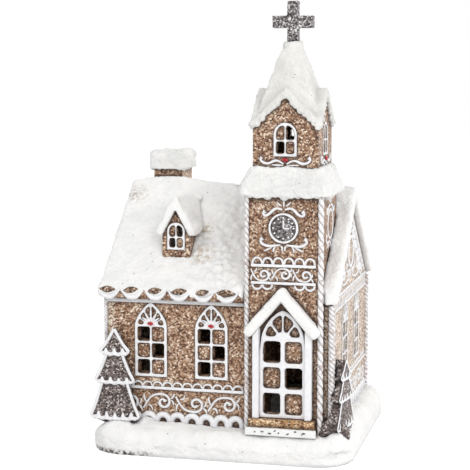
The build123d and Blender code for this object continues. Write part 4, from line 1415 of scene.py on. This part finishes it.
front_low, front_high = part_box("tree_front")
side_low, side_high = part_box("tree_side")
front_foot = Vector(((front_low.x + front_high.x) / 2, front_low.y, front_low.z))
side_foot = Vector((nave_high.x + 7.4 * mm, nave_low.y + 4.8 * mm, side_low.z))
side_tree_turn = 81
trees = (
    ("front", 0, front_foot, front_high.z - front_low.z, 1.0 * mm, 0.7),
    ("side", side_tree_turn, side_foot, side_high.z - side_low.z, 0.7 * mm, 0.45),
)
tree_width = front_high.x - front_low.x
for name, turn, foot, tall, thick, flat in trees:
    biscuit = copy_of(f"tree_{name}", f"{name}_tree_biscuit")
    roughen(biscuit, 0.5 * mm, 5, 0.6 * mm)
    turn_up(biscuit, turn, foot, tree_width, tall)
    trim_foot(biscuit, turn, foot)
    lift_hems(biscuit, foot, tree_width, tall)
    dress(biscuit, grey, "grey_glitter", f"tree_{name}")
    lines = tree_piping(tree_width, tall, thick)
    border = ice(f"{name}_tree_icing", lines, turn, foot, f"tree_{name}_icing", flat=flat)
    turn_up(border, turn, foot, tree_width, tall)
    lift_hems(border, foot, tree_width, tall, 2 * mm)

# %% [markdown]
# Crumbs have fallen where the biscuit broke: a rough lump between the tower's corner and the side tree,
# and a row of dark specks on the front of the door step. The lump is a few balls under one rough skin, as
# the snow is, and each speck is a ball pressed flat at a size, place and turn of its own.

# %% Crumbs
lump = join("corner_crumble", [
    heap((60.5, -61, 15), (4.4, 3.8, 8)),
    heap((63.5, -60, 15), (4.8, 4.2, 12)),
    heap((66.5, -58, 15), (4.4, 4.4, 9)),
    heap((69, -56.5, 15), (3.6, 4, 6)),
])
modify(lump, "REMESH", mode="VOXEL", voxel_size=0.6 * mm)
modify(lump, "DISPLACE", texture=crust, strength=2.4 * mm, mid_level=0.5, texture_coords="LOCAL")
dress(lump, grey, "grey_glitter")

step_low, step_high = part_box("door_step")
specks = []
speck_count = 9
for index in range(speck_count):
    across = (index + dice.uniform(-0.2, 1.2)) / speck_count
    bpy.ops.mesh.primitive_ico_sphere_add(subdivisions=2, radius=1)
    speck = bpy.context.object
    speck.scale = Vector((dice.uniform(0.4, 1.2), 0.35, dice.uniform(0.25, 0.5))) * mm
    speck.rotation_euler = (0, dice.uniform(-0.5, 0.5), 0)
    speck.location = (
        step_low.x + 3 * mm + across * (step_high.x - step_low.x - 6 * mm),
        step_low.y,
        step_high.z - dice.uniform(0.7, 2.8) * mm,
    )
    settle(speck)
    specks.append(speck)
dress(join("step_specks", specks), dark_crumb, None)

# %% [markdown]
# The cross is the same dark glitter as the dial, cast with soft edges. Its copy is remeshed, smoothed
# and roughened a little, so that its edges catch the light.

# %% Cross
cross = copy_of("spire_cross", "glitter_cross")
roughen(cross, 0.4 * mm, 4, 0.5 * mm)
dress(cross, dark, "dark_glitter", "spire_cross")

# %% [markdown]
# The battery door has raised grip ribs, which ride with it when it swings open. Each is a bar with
# bevelled edges, half sunk in the door.

# %% Battery door ribs
door_low, door_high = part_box("battery_door")
first_rib = door_high.x - 12 * mm
rib_pitch = 2.6 * mm
ribs = []
for index in range(5):
    bpy.ops.mesh.primitive_cube_add(size=1)
    rib = bpy.context.object
    rib.scale = (1.2 * mm, 14 * mm, 0.6 * mm)
    rib.location = (first_rib - index * rib_pitch, (door_low.y + door_high.y) / 2, door_low.z)
    settle(rib)
    modify(rib, "BEVEL", width=0.25 * mm, segments=2)
    ribs.append(rib)
grip = join("battery_door_ribs", ribs)
dress(grip, finishes["tray_plastic"], "tray_plastic", body="battery_door", smooth=False)

# %% [markdown]
# The sizes of the finished piece are kept beside the frame's own, so that they can be compared.

# %% Sizes
low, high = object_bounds()
print("visual box", [round(v, 4) for v in low], [round(v, 4) for v in high])
